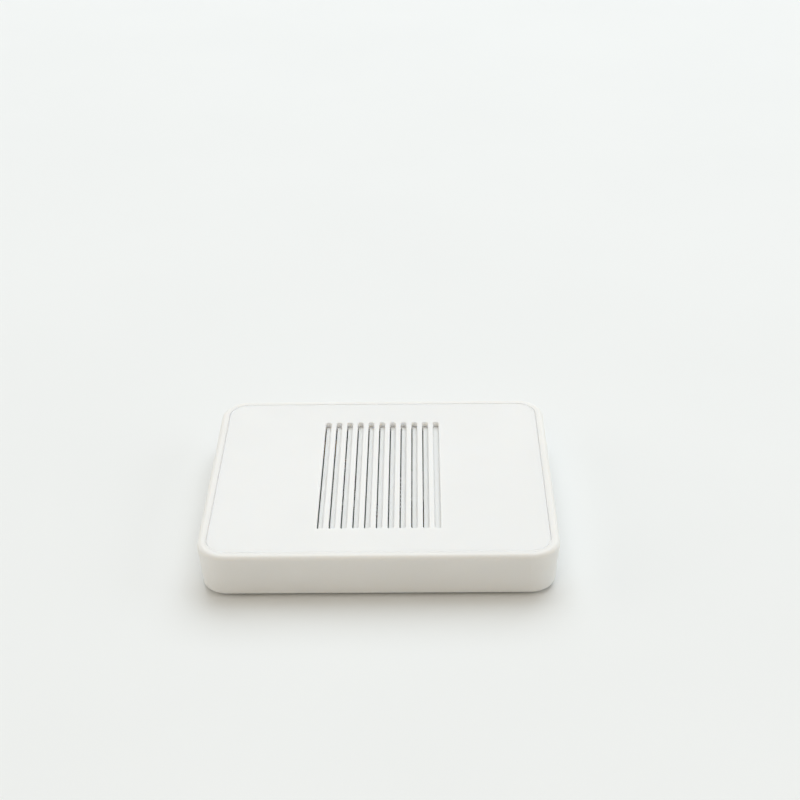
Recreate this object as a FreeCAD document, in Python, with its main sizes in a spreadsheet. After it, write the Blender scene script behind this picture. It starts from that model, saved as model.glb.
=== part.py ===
"""Wifi LED controller: a flat moulded box with a slotted top, its circuit board and its reset button.

Millimetres. +Z is up, X is the width, -Y is the plain front and +Y the back with the power inlet.
The origin is the centre of the footprint, on the surface that the rubber feet stand on.
"""
import FreeCAD, Part
import math
import os
from types import SimpleNamespace

import Sketcher

Vector = FreeCAD.Vector

# Driving dimensions
# Each row holds the alias, the value in millimetres (or a plain count) and what it measures.
DRIVING_SIZES = (
    ("case_width", "93.3", "outside width of the case at its rim"),
    ("case_depth", "79", "outside depth of the case at its rim"),
    ("case_height", "13.1", "height of the top face above the surface it stands on"),
    ("case_corner", "8", "plan radius of the rim's corners"),
    ("side_draft", "1.1", "how far each side leans in from the rim to the base"),
    ("rim_width", "2.4", "visible rim round the cover"),
    ("ledge_width", "1.2", "ledge that carries the cover, inside the rim"),
    ("floor_thickness", "1.6", "floor of the case"),
    ("rim_radius", "1.2", "rounding of the rim's outer edge"),
    ("base_radius", "0.7", "rounding of the base's outer edge"),
    ("cover_thickness", "1.5", "plate of the cover, which is the depth of its slots"),
    ("cover_gap", "0.04", "parting gap between the cover and the rim"),
    ("cover_radius", "0.2", "rounding of the cover's top edge"),
    ("skirt_depth", "0.8", "locating skirt under the cover"),
    ("skirt_thickness", "1", "wall of the locating skirt"),
    ("skirt_gap", "0.15", "clearance between the skirt and the case"),
    ("slot_count", "11", "number of vent slots"),
    ("slot_pitch", "3.07", "spacing of the vent slots"),
    ("slot_width", "1.6", "width of a vent slot"),
    ("slot_length", "53.4", "length of a vent slot over its round ends"),
    ("slot_bevel", "0.15", "bevel of the slots' top edges"),
    ("baffle_thickness", "0.8", "plate under the slots"),
    ("baffle_margin", "4.2", "how far the baffle reaches past the slots"),
    ("baffle_corner", "1.5", "plan radius of the baffle's corners"),
    ("slit_open", "0.27", "part of a baffle slit that shows in its slot"),
    ("slit_hidden", "0.1", "part of a baffle slit behind the slot's wall"),
    ("slit_end_gap", "0.9", "how much a slit stops short of its slot's end"),
    ("stake_inset", "2", "centre of a stake from the baffle's edge"),
    ("stake_diameter", "1.6", "stake under the cover that holds the baffle"),
    ("stake_clearance", "0.1", "gap round a stake in the baffle's hole"),
    ("stake_head_diameter", "2.8", "flattened end of a stake"),
    ("stake_head_height", "0.45", "thickness of a stake's flattened end"),
    ("boss_inset", "4.4", "centre of a case screw from the inner walls"),
    ("boss_diameter", "7", "boss round a case screw"),
    ("boss_height", "2.2", "height of a boss above the floor"),
    ("gusset_thickness", "1", "ribs that tie a boss to the walls"),
    ("gusset_height", "1.6", "height of those ribs above the floor"),
    ("counterbore_diameter", "5", "pocket for a case screw's head"),
    ("counterbore_depth", "2.4", "depth of that pocket from the base"),
    ("screw_hole_diameter", "2.8", "clearance hole of a case screw"),
    ("post_diameter", "5.6", "screw post under the cover"),
    ("post_gap", "0.1", "gap between a post and its boss"),
    ("post_pilot_roof", "1", "solid plastic above a post's screw hole"),
    ("thread_clearance", "0.05", "gap round a screw's shank in its pilot hole"),
    ("case_screw_head_diameter", "4.4", "head of a case screw"),
    ("case_screw_head_height", "1.5", "height of that head"),
    ("case_screw_diameter", "2.3", "shank of a case screw"),
    ("case_screw_end_gap", "0.5", "free depth past a case screw's end"),
    ("board_screw_head_diameter", "3.6", "head of a board screw"),
    ("board_screw_head_height", "1.2", "height of that head"),
    ("board_screw_diameter", "1.8", "shank of a board screw"),
    ("board_screw_end_gap", "0.4", "free depth past a board screw's end"),
    ("drive_span", "2", "length of a screw's cross recess"),
    ("drive_width", "0.7", "bar width of a screw's cross recess"),
    ("drive_depth", "0.7", "depth of a screw's cross recess"),
    ("foot_proud", "0.9", "how far the feet stand out below the case"),
    ("foot_recess", "0.6", "depth of a foot's seat in the case"),
    ("foot_diameter", "8", "rubber foot"),
    ("foot_clearance", "0.1", "gap round a foot in its seat"),
    ("foot_inset_x", "14.65", "centre of a foot from the case's side"),
    ("foot_inset_y", "14.5", "centre of a foot from the case's front or back"),
    ("board_width", "64", "main circuit board, across"),
    ("board_depth", "58", "main circuit board, front to back"),
    ("board_thickness", "1.6", "main circuit board"),
    ("board_corner", "1.5", "plan radius of the board's corners"),
    ("board_wall_gap", "0.3", "gap between the board and the back wall"),
    ("board_headroom", "4.9", "free height between the board and the cover"),
    ("standoff_diameter", "4.6", "post that carries the board"),
    ("standoff_inset", "3.2", "centre of a standoff from the board's edges"),
    ("standoff_pilot_floor", "1.2", "solid plastic below a standoff's screw hole"),
    ("board_hole_diameter", "2.2", "screw hole in the board"),
    ("port_offset", "20", "power inlet, left of the middle as seen from the front"),
    ("port_width", "7.5", "metal shell of the power inlet"),
    ("port_height", "2.7", "height of that shell"),
    ("port_length", "5.2", "depth of that shell"),
    ("port_wall", "0.3", "sheet thickness of that shell"),
    ("port_chamfer_width", "1", "bevelled lower corner of the shell, across"),
    ("port_chamfer_height", "0.9", "bevelled lower corner of the shell, upwards"),
    ("port_lip", "0.25", "flare round the shell's mouth"),
    ("port_lip_length", "0.3", "depth of that flare"),
    ("port_clearance", "0.2", "gap round the flare in the case wall"),
    ("port_tab_reach", "1", "solder tab beside the shell"),
    ("port_tab_length", "1.4", "solder tab, front to back"),
    ("port_tab_thickness", "0.2", "solder tab"),
    ("port_recess_width", "11.4", "hollow in the wall for the plug's grip"),
    ("port_recess_height", "6.8", "height of that hollow"),
    ("port_recess_corner", "2.2", "corner radius of that hollow"),
    ("port_recess_depth", "1.9", "hollow's floor, measured in from the rim"),
    ("tongue_width", "3.7", "contact tongue inside the inlet"),
    ("tongue_thickness", "0.6", "contact tongue"),
    ("tongue_level", "1.3", "underside of the tongue above the board"),
    ("tongue_setback", "0.9", "tip of the tongue behind the mouth"),
    ("tongue_base_length", "1.3", "block that carries the tongue"),
    ("contact_count", "5", "contacts under the tongue"),
    ("contact_setback", "0.3", "tip of a contact behind the tongue's tip"),
    ("contact_pitch", "0.65", "spacing of the contacts"),
    ("contact_width", "0.25", "width of a contact"),
    ("contact_thickness", "0.12", "sheet thickness of a contact"),
    ("contact_tail", "0.7", "reach of a contact's tail behind the inlet"),
    ("led_offset", "4", "first indicator, right of the middle"),
    ("led_spacing", "6", "from the first indicator to the second"),
    ("led_diameter", "3", "indicator's lens"),
    ("led_flange_diameter", "3.8", "indicator's flange"),
    ("led_flange_length", "1", "indicator's flange"),
    ("led_length", "5.3", "indicator, flange to tip"),
    ("led_lift", "0.1", "gap between the flange and the board"),
    ("led_tip_setback", "0.2", "tip of an indicator behind the rim"),
    ("led_clearance", "0.1", "gap round an indicator in the case wall"),
    ("lead_width", "0.5", "square wire of an indicator's lead"),
    ("lead_pitch", "2.54", "between an indicator's two leads"),
    ("lead_reach", "1.4", "from the indicator to the bend of its lead"),
    ("lead_floor_gap", "0.4", "gap between the trimmed leads and the case floor"),
    ("lead_hole_diameter", "0.9", "lead hole in the board"),
    ("reset_offset", "22", "reset button, right of the middle"),
    ("reset_travel_room", "0.35", "gap that the button's travel closes at its stop"),
    ("button_diameter", "3", "reset button's head"),
    ("button_clearance", "0.15", "gap round the button in the case wall"),
    ("button_flange_diameter", "3.7", "collar that keeps the button in"),
    ("button_flange_length", "0.5", "thickness of that collar"),
    ("button_flange_gap", "0.1", "collar to the wall at rest"),
    ("button_tip_setback", "0.15", "tip of the button behind the rim"),
    ("button_tip_bevel", "0.4", "bevel of the button's tip"),
    ("switch_width", "6", "reset switch"),
    ("switch_depth", "3.4", "reset switch"),
    ("switch_height", "3.6", "reset switch"),
    ("switch_plate_thickness", "0.2", "stamped face of the switch"),
    ("switch_plate_gap", "0.35", "bare margin round that face"),
    ("plunger_diameter", "2", "plunger of the switch"),
    ("plunger_clearance", "0.1", "gap round the plunger"),
    ("plunger_seat", "1.2", "length of plunger inside the switch"),
    ("plunger_bore_room", "0.7", "free depth behind the plunger"),
    ("module_x", "13.5", "radio module's centre, from the board's centre"),
    ("module_y", "-11.6", "radio module's centre, from the board's centre"),
    ("module_width", "16", "radio module's board"),
    ("module_depth", "24", "radio module's board"),
    ("module_thickness", "0.8", "radio module's board"),
    ("module_pad_count", "8", "solder notches along each side"),
    ("module_pad_pitch", "2", "spacing of the solder notches"),
    ("module_pad_diameter", "1", "solder notch"),
    ("module_pad_inset", "1.6", "first notch from the module's back edge"),
    ("shield_width", "12.2", "shield can"),
    ("shield_depth", "15", "shield can"),
    ("shield_height", "2.3", "shield can"),
    ("shield_wall", "0.25", "sheet thickness of the can"),
    ("shield_corner", "1", "plan radius of the can's corners"),
    ("shield_bevel", "0.3", "bevelled top edge of the can"),
    ("shield_back_gap", "1", "can from the module's back edge"),
    ("chip_bevel", "0.15", "bevelled top edge of a chip"),
    ("lead_start", "0.3", "length of a chip's lead inside the chip"),
    ("mcu_x", "-9", "microcontroller's centre, from the board's centre"),
    ("mcu_y", "-3.6", "microcontroller's centre, from the board's centre"),
    ("mcu_width", "7", "microcontroller, square"),
    ("mcu_body_height", "1.4", "microcontroller without its leads"),
    ("mcu_stand", "0.1", "gap between the microcontroller and the board"),
    ("mcu_lead_count", "8", "leads along each side"),
    ("mcu_lead_pitch", "0.8", "spacing of the leads"),
    ("mcu_lead_width", "0.35", "width of a lead"),
    ("mcu_lead_thickness", "0.15", "sheet thickness of a lead"),
    ("mcu_lead_level", "0.7", "height at which a lead leaves the chip"),
    ("regulator_x", "-21", "voltage regulator's centre, from the board's centre"),
    ("regulator_y", "9.9", "voltage regulator's centre, from the board's centre"),
    ("regulator_width", "6.5", "voltage regulator, across"),
    ("regulator_depth", "3.5", "voltage regulator, front to back"),
    ("regulator_body_height", "1.6", "voltage regulator without its leads"),
    ("regulator_stand", "0.06", "gap between the regulator and the board"),
    ("regulator_lead_count", "3", "leads on one side"),
    ("regulator_lead_pitch", "2.3", "spacing of the leads"),
    ("regulator_lead_width", "0.7", "width of a lead"),
    ("regulator_lead_thickness", "0.25", "sheet thickness of the leads and the tab"),
    ("regulator_lead_level", "0.7", "height at which a lead leaves the chip"),
    ("regulator_tab_width", "3", "tab that sheds the heat"),
    ("regulator_tab_reach", "1.5", "how far the tab stands out"),
)

# Plain chips on the main board: label, x and y from the board's centre, width, depth, height
BOARD_CHIPS = (
    ("radio_chip", "-20", "-12.6", "4", "4", "0.85"),
    ("chip_antenna", "-23", "-20.1", "7", "2", "0.8"),
    ("mcu_crystal", "-9", "-13.6", "5", "3.2", "1.1"),
    ("radio_crystal", "-20", "-6.6", "3.2", "2.5", "0.8"),
    ("input_fuse", "-9.5", "23.4", "4.5", "3.2", "0.8"),
    ("input_diode", "-27.5", "18.2", "2.6", "4.3", "2.2"),
)
# Plain chips under the shield can, with x and y from the can's centre
MODULE_CHIPS = (
    ("wifi_chip", "0", "2.8", "5", "5", "0.85"),
    ("flash_chip", "0", "-3.4", "5.2", "4.4", "1.5"),
)
CHIP_SIZES = ("x", "y", "width", "depth", "height")

# Groups of equal small parts on the main board: label, the first one's x and y from the board's
# centre, width, depth, height, column pitch, columns, row pitch, rows
CHIP_GROUPS = (
    ("tantalum_capacitors", "-15.8", "14.1", "3.2", "6", "2.5", "3.6", "2", "8", "1"),
    ("chip_capacitors", "-12.6", "5.4", "0.8", "1.6", "0.8", "2.4", "4", "3.2", "2"),
    ("chip_resistors", "-1.2", "-18.6", "1.6", "0.8", "0.45", "2.6", "2", "2", "4"),
)
GROUP_SIZES = CHIP_SIZES + ("column_pitch", "columns", "row_pitch", "rows")

# A chip's bent lead drops and rests over these lengths, counted in thicknesses of its sheet.
LEAD_DROP = 2.5
LEAD_FOOT = 4

FULL_TURN = 360
CHIP_SIDES = 4
# Two levels that differ by less than this many millimetres are one level.
SAME_LEVEL = 1e-4


class Size:
    """A dimension that knows its value and the sheet expression that gives it."""

    def __init__(self, value, words):
        self.value = value
        self.words = words

    def __add__(self, other):
        return Size(self.value + value_of(other), "(%s + %s)" % (self.words, words_of(other)))

    def __sub__(self, other):
        return Size(self.value - value_of(other), "(%s - %s)" % (self.words, words_of(other)))

    def __mul__(self, other):
        return Size(self.value * value_of(other), "(%s * %s)" % (self.words, words_of(other)))

    def __truediv__(self, other):
        return Size(self.value / value_of(other), "(%s / %s)" % (self.words, words_of(other)))

    def __neg__(self):
        return Size(-self.value, "(-1 * %s)" % self.words)

    def __rmul__(self, other):
        return self * other


def value_of(size):
    """The number of a Size, or a plain number as it is."""
    return size.value if isinstance(size, Size) else float(size)


def words_of(size):
    """The sheet expression of a Size, or a plain number as text."""
    return size.words if isinstance(size, Size) else repr(size)


def angle_of(rise, run):
    """The angle in degrees whose tangent is rise over run."""
    return Size(math.degrees(math.atan2(value_of(rise), value_of(run))),
                "atan(%s / %s)" % (words_of(rise), words_of(run)))


def sheet_rows():
    """Every row of the spreadsheet: the driving dimensions and the sizes of the small parts."""
    rows = list(DRIVING_SIZES)
    for table, fields in ((BOARD_CHIPS + MODULE_CHIPS, CHIP_SIZES), (CHIP_GROUPS, GROUP_SIZES)):
        for label, *numbers in table:
            rows += [(label + "_" + field, number, label + " " + field)
                     for field, number in zip(fields, numbers)]
    return rows


def fill_sheet(document):
    """Writes the driving dimensions into a spreadsheet and returns them by name."""
    sheet = document.addObject("Spreadsheet::Sheet", "sizes")
    named = SimpleNamespace()
    for row, (alias, number, meaning) in enumerate(sheet_rows(), start=1):
        sheet.set("A%d" % row, meaning)
        sheet.set("B%d" % row, number)
        sheet.setAlias("B%d" % row, alias)
        setattr(named, alias, Size(float(number), "sizes." + alias))
    document.recompute()
    return named


doc = FreeCAD.newDocument("wifi_led_controller")
s = fill_sheet(doc)

# Levels and places that several pieces share
BASE = s.foot_proud
FLOOR = s.foot_proud + s.floor_thickness
COVER_UNDER = s.case_height - s.cover_thickness
BOSS_TOP = FLOOR + s.boss_height
POST_END = BOSS_TOP + s.post_gap
POST_PILOT_END = COVER_UNDER - s.post_pilot_roof
CASE_SCREW_SEAT = BASE + s.counterbore_depth
BOARD_TOP = COVER_UNDER - s.board_headroom
BOARD_UNDER = BOARD_TOP - s.board_thickness
STANDOFF_PILOT_DEPTH = BOARD_UNDER - BASE - s.standoff_pilot_floor
BAFFLE_UNDER = COVER_UNDER - s.baffle_thickness
RIM_BACK = s.case_depth / 2
INNER_WIDTH = s.case_width - 2 * (s.rim_width + s.ledge_width)
INNER_DEPTH = s.case_depth - 2 * (s.rim_width + s.ledge_width)
INNER_CORNER = s.case_corner - s.rim_width - s.ledge_width
WALL_INSIDE = INNER_DEPTH / 2
BOSS_X = INNER_WIDTH / 2 - s.boss_inset
BOSS_Y = INNER_DEPTH / 2 - s.boss_inset
FOOT_X = s.case_width / 2 - s.foot_inset_x
FOOT_Y = s.case_depth / 2 - s.foot_inset_y
BOARD_BACK = WALL_INSIDE - s.board_wall_gap
BOARD_Y = BOARD_BACK - s.board_depth / 2
STANDOFF_X = s.board_width / 2 - s.standoff_inset
STANDOFF_FRONT = BOARD_BACK - s.board_depth + s.standoff_inset
STANDOFF_STEP_Y = s.board_depth - 2 * s.standoff_inset
FIRST_SLOT_X = -(s.slot_count - 1) * s.slot_pitch / 2
BAFFLE_WIDTH = (s.slot_count - 1) * s.slot_pitch + s.slot_width + 2 * s.baffle_margin
BAFFLE_DEPTH = s.slot_length + 2 * s.baffle_margin
STAKE_X = BAFFLE_WIDTH / 2 - s.stake_inset
STAKE_Y = BAFFLE_DEPTH / 2 - s.stake_inset
STAKE_ROWS = 3
PORT_MOUTH = RIM_BACK - s.port_recess_depth
PORT_MIDDLE = BOARD_TOP + s.port_height / 2
FIRST_CONTACT_X = -(s.contact_count - 1) * s.contact_pitch / 2
LED_LEVEL = BOARD_TOP + s.led_lift + s.led_flange_diameter / 2
LED_BACK = RIM_BACK - s.led_tip_setback - s.led_length
LEAD_Y = LED_BACK - s.lead_reach + s.lead_width / 2
RESET_LEVEL = LED_LEVEL
COLLAR_FRONT = WALL_INSIDE - s.button_flange_gap - s.button_flange_length
SWITCH_FACE = COLLAR_FRONT - s.reset_travel_room
MODULE_Y = BOARD_Y + s.module_y
MODULE_TOP = BOARD_TOP + s.module_thickness
SHIELD_Y = MODULE_Y + (s.module_depth - s.shield_depth) / 2 - s.shield_back_gap


# Helpers that bind a feature to the sheet

def bind(item, path, size):
    """Sets one property of an object by an expression."""
    item.setExpression(path, words_of(size))


def origin_feature(body, role):
    """One of a body's own origin planes or axes, by its role."""
    for feature in body.Origin.OriginFeatures:
        if feature.Role == role:
            return feature
    raise ValueError("no origin feature " + role)


def new_body(label, x=0, y=0, z=0):
    """A body whose own origin stands at the given place."""
    body = doc.addObject("PartDesign::Body", label)
    body.Label = label
    body.AllowCompound = True
    bind(body, "Placement.Base.x", x)
    bind(body, "Placement.Base.y", y)
    bind(body, "Placement.Base.z", z)
    return body


def sketch_on(body, name, role, x=0, y=0, z=0):
    """A sketch on one of the body's origin planes, moved to the given place."""
    sketch = body.newObject("Sketcher::SketchObject", name)
    sketch.AttachmentSupport = [(origin_feature(body, role), "")]
    sketch.MapMode = "FlatFace"
    if role == "XY_Plane":
        offset = (x, y, z)
    elif role == "XZ_Plane":
        offset = (x, z, -y)
    else:
        offset = (y, z, x)
    for axis, size in zip("xyz", offset):
        bind(sketch, "AttachmentOffset.Base." + axis, size)
    return sketch


def dimension(sketch, kind, places, size):
    """Adds one driving constraint and binds it to the sheet."""
    index = sketch.addConstraint(Sketcher.Constraint(kind, *places, value_of(size)))
    bind(sketch, "Constraints[%d]" % index, size)


def draw_circle(sketch, diameter):
    """A circle about the sketch's origin."""
    circle = Part.Circle(Vector(0, 0, 0), Vector(0, 0, 1), value_of(diameter) / 2)
    index = sketch.addGeometry(circle, False)
    sketch.addConstraint(Sketcher.Constraint("Coincident", index, 3, -1, 1))
    dimension(sketch, "Diameter", (index,), diameter)


def draw_rectangle(sketch, width, depth):
    """A sharp rectangle centred on the sketch's origin."""
    a = value_of(width) / 2
    b = value_of(depth) / 2
    corners = [Vector(-a, -b, 0), Vector(a, -b, 0), Vector(a, b, 0), Vector(-a, b, 0)]
    lines = [Part.LineSegment(corners[i], corners[(i + 1) % 4]) for i in range(4)]
    first = sketch.addGeometry(lines, False)[0]
    rules = [Sketcher.Constraint("Coincident", first + i, 2, first + (i + 1) % 4, 1) for i in range(4)]
    rules += [Sketcher.Constraint("Horizontal", first + i) for i in (0, 2)]
    rules += [Sketcher.Constraint("Vertical", first + i) for i in (1, 3)]
    rules.append(Sketcher.Constraint("Symmetric", first, 1, first + 2, 1, -1, 1))
    sketch.addConstraint(rules)
    dimension(sketch, "DistanceX", (first, 1, first, 2), width)
    dimension(sketch, "DistanceY", (first + 1, 1, first + 1, 2), depth)


def draw_rounded(sketch, width, depth, corner):
    """A rectangle with four equal round corners, centred on the sketch's origin."""
    a = value_of(width) / 2
    b = value_of(depth) / 2
    r = value_of(corner)
    straight = [
        Part.LineSegment(Vector(r - a, -b, 0), Vector(a - r, -b, 0)),
        Part.LineSegment(Vector(a, r - b, 0), Vector(a, b - r, 0)),
        Part.LineSegment(Vector(a - r, b, 0), Vector(r - a, b, 0)),
        Part.LineSegment(Vector(-a, b - r, 0), Vector(-a, r - b, 0)),
    ]
    centres = [
        Vector(a - r, r - b, 0),
        Vector(a - r, b - r, 0),
        Vector(r - a, b - r, 0),
        Vector(r - a, r - b, 0),
    ]
    quarter = math.pi / 2
    arcs = [
        Part.ArcOfCircle(Part.Circle(centre, Vector(0, 0, 1), r), (i - 1) * quarter, i * quarter)
        for i, centre in enumerate(centres)
    ]
    first = sketch.addGeometry(straight + arcs, False)[0]
    arc = first + 4
    rules = []
    for i in range(4):
        rules.append(Sketcher.Constraint("Tangent", first + i, 2, arc + i, 1))
        rules.append(Sketcher.Constraint("Tangent", arc + i, 2, first + (i + 1) % 4, 1))
    rules += [Sketcher.Constraint("Horizontal", first + i) for i in (0, 2)]
    rules += [Sketcher.Constraint("Vertical", first + i) for i in (1, 3)]
    rules += [Sketcher.Constraint("Equal", arc, arc + i) for i in (1, 2, 3)]
    rules.append(Sketcher.Constraint("Symmetric", arc, 3, arc + 2, 3, -1, 1))
    sketch.addConstraint(rules)
    dimension(sketch, "Radius", (arc,), corner)
    dimension(sketch, "DistanceX", (first + 3, 1, first + 1, 1), width)
    dimension(sketch, "DistanceY", (first, 1, first + 2, 1), depth)


def draw_obround(sketch, width, length):
    """A slot outline with round ends, long in the sketch's upward direction."""
    r = value_of(width) / 2
    reach = value_of(length) / 2 - r
    pieces = [
        Part.LineSegment(Vector(r, -reach, 0), Vector(r, reach, 0)),
        Part.ArcOfCircle(Part.Circle(Vector(0, reach, 0), Vector(0, 0, 1), r), 0, math.pi),
        Part.LineSegment(Vector(-r, reach, 0), Vector(-r, -reach, 0)),
        Part.ArcOfCircle(Part.Circle(Vector(0, -reach, 0), Vector(0, 0, 1), r), math.pi, 2 * math.pi),
    ]
    first = sketch.addGeometry(pieces, False)[0]
    rules = [Sketcher.Constraint("Tangent", first + i, 2, first + (i + 1) % 4, 1) for i in range(4)]
    rules += [Sketcher.Constraint("Vertical", first + i) for i in (0, 2)]
    rules.append(Sketcher.Constraint("Symmetric", first + 1, 3, first + 3, 3, -1, 1))
    sketch.addConstraint(rules)
    dimension(sketch, "DistanceX", (first + 2, 1, first, 2), width)
    dimension(sketch, "DistanceY", (first + 3, 3, first + 1, 3), length - width)


def draw_outline(sketch, points):
    """A closed outline of straight edges through points, each a pair of sizes."""
    places = [Vector(value_of(x), value_of(y), 0) for x, y in points]
    count = len(places)
    lines = [Part.LineSegment(places[i], places[(i + 1) % count]) for i in range(count)]
    first = sketch.addGeometry(lines, False)[0]
    rules = [
        Sketcher.Constraint("Coincident", first + i, 2, first + (i + 1) % count, 1)
        for i in range(count)
    ]
    sketch.addConstraint(rules)
    for i, (x, y) in enumerate(points):
        place_point(sketch, first + i, x, "DistanceX", -2)
        place_point(sketch, first + i, y, "DistanceY", -1)


def draw_domed_outline(sketch, flange, flange_length, radius, length):
    """Half the outline of a flanged pin with a round tip, against the sketch's upright axis."""
    r = value_of(radius)
    straight = value_of(length) - r
    wide = value_of(flange)
    low = value_of(flange_length)
    corners = [Vector(0, straight + r, 0), Vector(0, 0, 0), Vector(wide, 0, 0), Vector(wide, low, 0),
               Vector(r, low, 0), Vector(r, straight, 0)]
    lines = [Part.LineSegment(a, b) for a, b in zip(corners, corners[1:])]
    dome = Part.ArcOfCircle(Part.Circle(Vector(0, straight, 0), Vector(0, 0, 1), r), 0, math.pi / 2)
    first = sketch.addGeometry(lines + [dome], False)[0]
    arc = first + 5
    rules = [Sketcher.Constraint("Coincident", first + i, 2, first + i + 1, 1) for i in range(4)]
    rules.append(Sketcher.Constraint("Tangent", arc - 1, 2, arc, 1))
    rules.append(Sketcher.Constraint("Coincident", arc, 2, first, 1))
    rules.append(Sketcher.Constraint("Coincident", first + 1, 1, -1, 1))
    rules.append(Sketcher.Constraint("PointOnObject", arc, 3, -2))
    rules += [Sketcher.Constraint("Vertical", first + i) for i in (0, 2, 4)]
    rules += [Sketcher.Constraint("Horizontal", first + i) for i in (1, 3)]
    sketch.addConstraint(rules)
    dimension(sketch, "Radius", (arc,), radius)
    dimension(sketch, "DistanceY", (first, 2, first, 1), length)
    dimension(sketch, "DistanceX", (first + 1, 1, first + 1, 2), flange)
    dimension(sketch, "DistanceY", (first + 2, 1, first + 2, 2), flange_length)


def place_point(sketch, line, size, kind, axis):
    """Holds a line's first point on an axis, or at a distance from the origin."""
    if value_of(size) == 0:
        sketch.addConstraint(Sketcher.Constraint("PointOnObject", line, 1, axis))
    elif value_of(size) < 0:
        dimension(sketch, kind, (line, 1, -1, 1), -size)
    else:
        dimension(sketch, kind, (-1, 1, line, 1), size)


# Helpers that add a feature and test it

def finish_feature(body, feature, adds):
    """Recomputes, and stops if the feature failed or changed the solid the wrong way."""
    before = feature.BaseFeature.Shape.Volume if feature.BaseFeature else 0.0
    doc.recompute()
    if not feature.isValid() or feature.Shape.isNull():
        raise ValueError("%s: %s failed" % (body.Label, feature.Name))
    after = feature.Shape.Volume
    if adds and after <= before or not adds and after >= before:
        raise ValueError("%s: %s changed %.4f to %.4f" % (body.Label, feature.Name, before, after))
    return feature


def pad(body, name, sketch, length, backwards=False, both_ways=False, taper=None):
    """Raises a sketch along its normal, or against it when backwards."""
    feature = body.newObject("PartDesign::Pad", name)
    feature.Profile = sketch
    feature.Reversed = backwards
    feature.Midplane = both_ways
    bind(feature, "Length", length)
    if taper is not None:
        bind(feature, "TaperAngle", taper)
    return finish_feature(body, feature, adds=True)


def pocket(body, name, sketch, length, forwards=False, both_ways=False):
    """Cuts a sketch against its normal, or along it when forwards."""
    feature = body.newObject("PartDesign::Pocket", name)
    feature.Profile = sketch
    feature.Reversed = forwards
    feature.Midplane = both_ways
    bind(feature, "Length", length)
    return finish_feature(body, feature, adds=False)


def revolve(body, name, sketch):
    """Turns a sketch a full turn about its own upright axis."""
    feature = body.newObject("PartDesign::Revolution", name)
    feature.Profile = sketch
    feature.ReferenceAxis = (sketch, ["V_Axis"])
    feature.Angle = FULL_TURN
    return finish_feature(body, feature, adds=True)


def edges_where(feature, test):
    """The names of a feature's edges whose bounding box passes the test."""
    return ["Edge%d" % i for i, edge in enumerate(feature.Shape.Edges, 1) if test(edge.BoundBox)]


def level_edges(feature, level):
    """The names of the edges that lie flat at one height of the body."""
    height = value_of(level)
    return edges_where(feature, lambda box: max(abs(box.ZMin - height), abs(box.ZMax - height)) < SAME_LEVEL)


def round_edges(body, name, base, edges, radius):
    """Rounds the named edges of the feature before it."""
    feature = body.newObject("PartDesign::Fillet", name)
    feature.Base = (base, edges)
    bind(feature, "Radius", radius)
    doc.recompute()
    return feature


def bevel_edges(body, name, base, edges, size):
    """Bevels the named edges of the feature before it."""
    feature = body.newObject("PartDesign::Chamfer", name)
    feature.Base = (base, edges)
    bind(feature, "Size", size)
    doc.recompute()
    return feature


def row_pattern(body, name, axis, spacing, count):
    """A straight row for a pattern, along one of the body's axes."""
    row = body.newObject("PartDesign::LinearPattern", name)
    row.Direction = (origin_feature(body, axis + "_Axis"), [""])
    row.Mode = "Spacing"
    bind(row, "Offset", spacing)
    bind(row, "Occurrences", count)
    return row


def copies(body, name, originals, rows):
    """Repeats features along rows, each row an axis, a spacing and a count."""
    multi = body.newObject("PartDesign::MultiTransform", name)
    multi.Originals = originals
    body.Tip = multi
    multi.Transformations = [
        row_pattern(body, "%s_%s%d" % (name, axis.lower(), i), axis, spacing, count)
        for i, (axis, spacing, count) in enumerate(rows, 1)
    ]
    body.Tip = multi
    doc.recompute()
    return multi


# Casing

def make_lower_case():
    """The moulded tray: leaning walls, rim, ledge, bosses, standoffs and the holes in its back."""
    body = new_body("lower_case")
    sketch = sketch_on(body, "rim_outline", "XY_Plane", z=s.case_height)
    draw_rounded(sketch, s.case_width, s.case_depth, s.case_corner)
    wall_height = s.case_height - BASE
    block = pad(body, "leaning_block", sketch, wall_height, backwards=True,
                taper=-angle_of(s.side_draft, wall_height))
    block = round_edges(body, "base_rounding", block, level_edges(block, BASE), s.base_radius)
    round_edges(body, "rim_rounding", block, level_edges(block, s.case_height), s.rim_radius)

    sketch = sketch_on(body, "cover_seat_outline", "XY_Plane", z=s.case_height)
    corner = s.case_corner - s.rim_width
    draw_rounded(sketch, s.case_width - 2 * s.rim_width, s.case_depth - 2 * s.rim_width, corner)
    pocket(body, "cover_seat", sketch, s.cover_thickness)
    sketch = sketch_on(body, "interior_outline", "XY_Plane", z=s.case_height)
    draw_rounded(sketch, INNER_WIDTH, INNER_DEPTH, INNER_CORNER)
    pocket(body, "interior", sketch, s.case_height - FLOOR)

    add_screw_bosses(body)
    add_standoffs(body)
    add_foot_seats(body)
    cut_back_wall(body)
    return body


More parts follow.
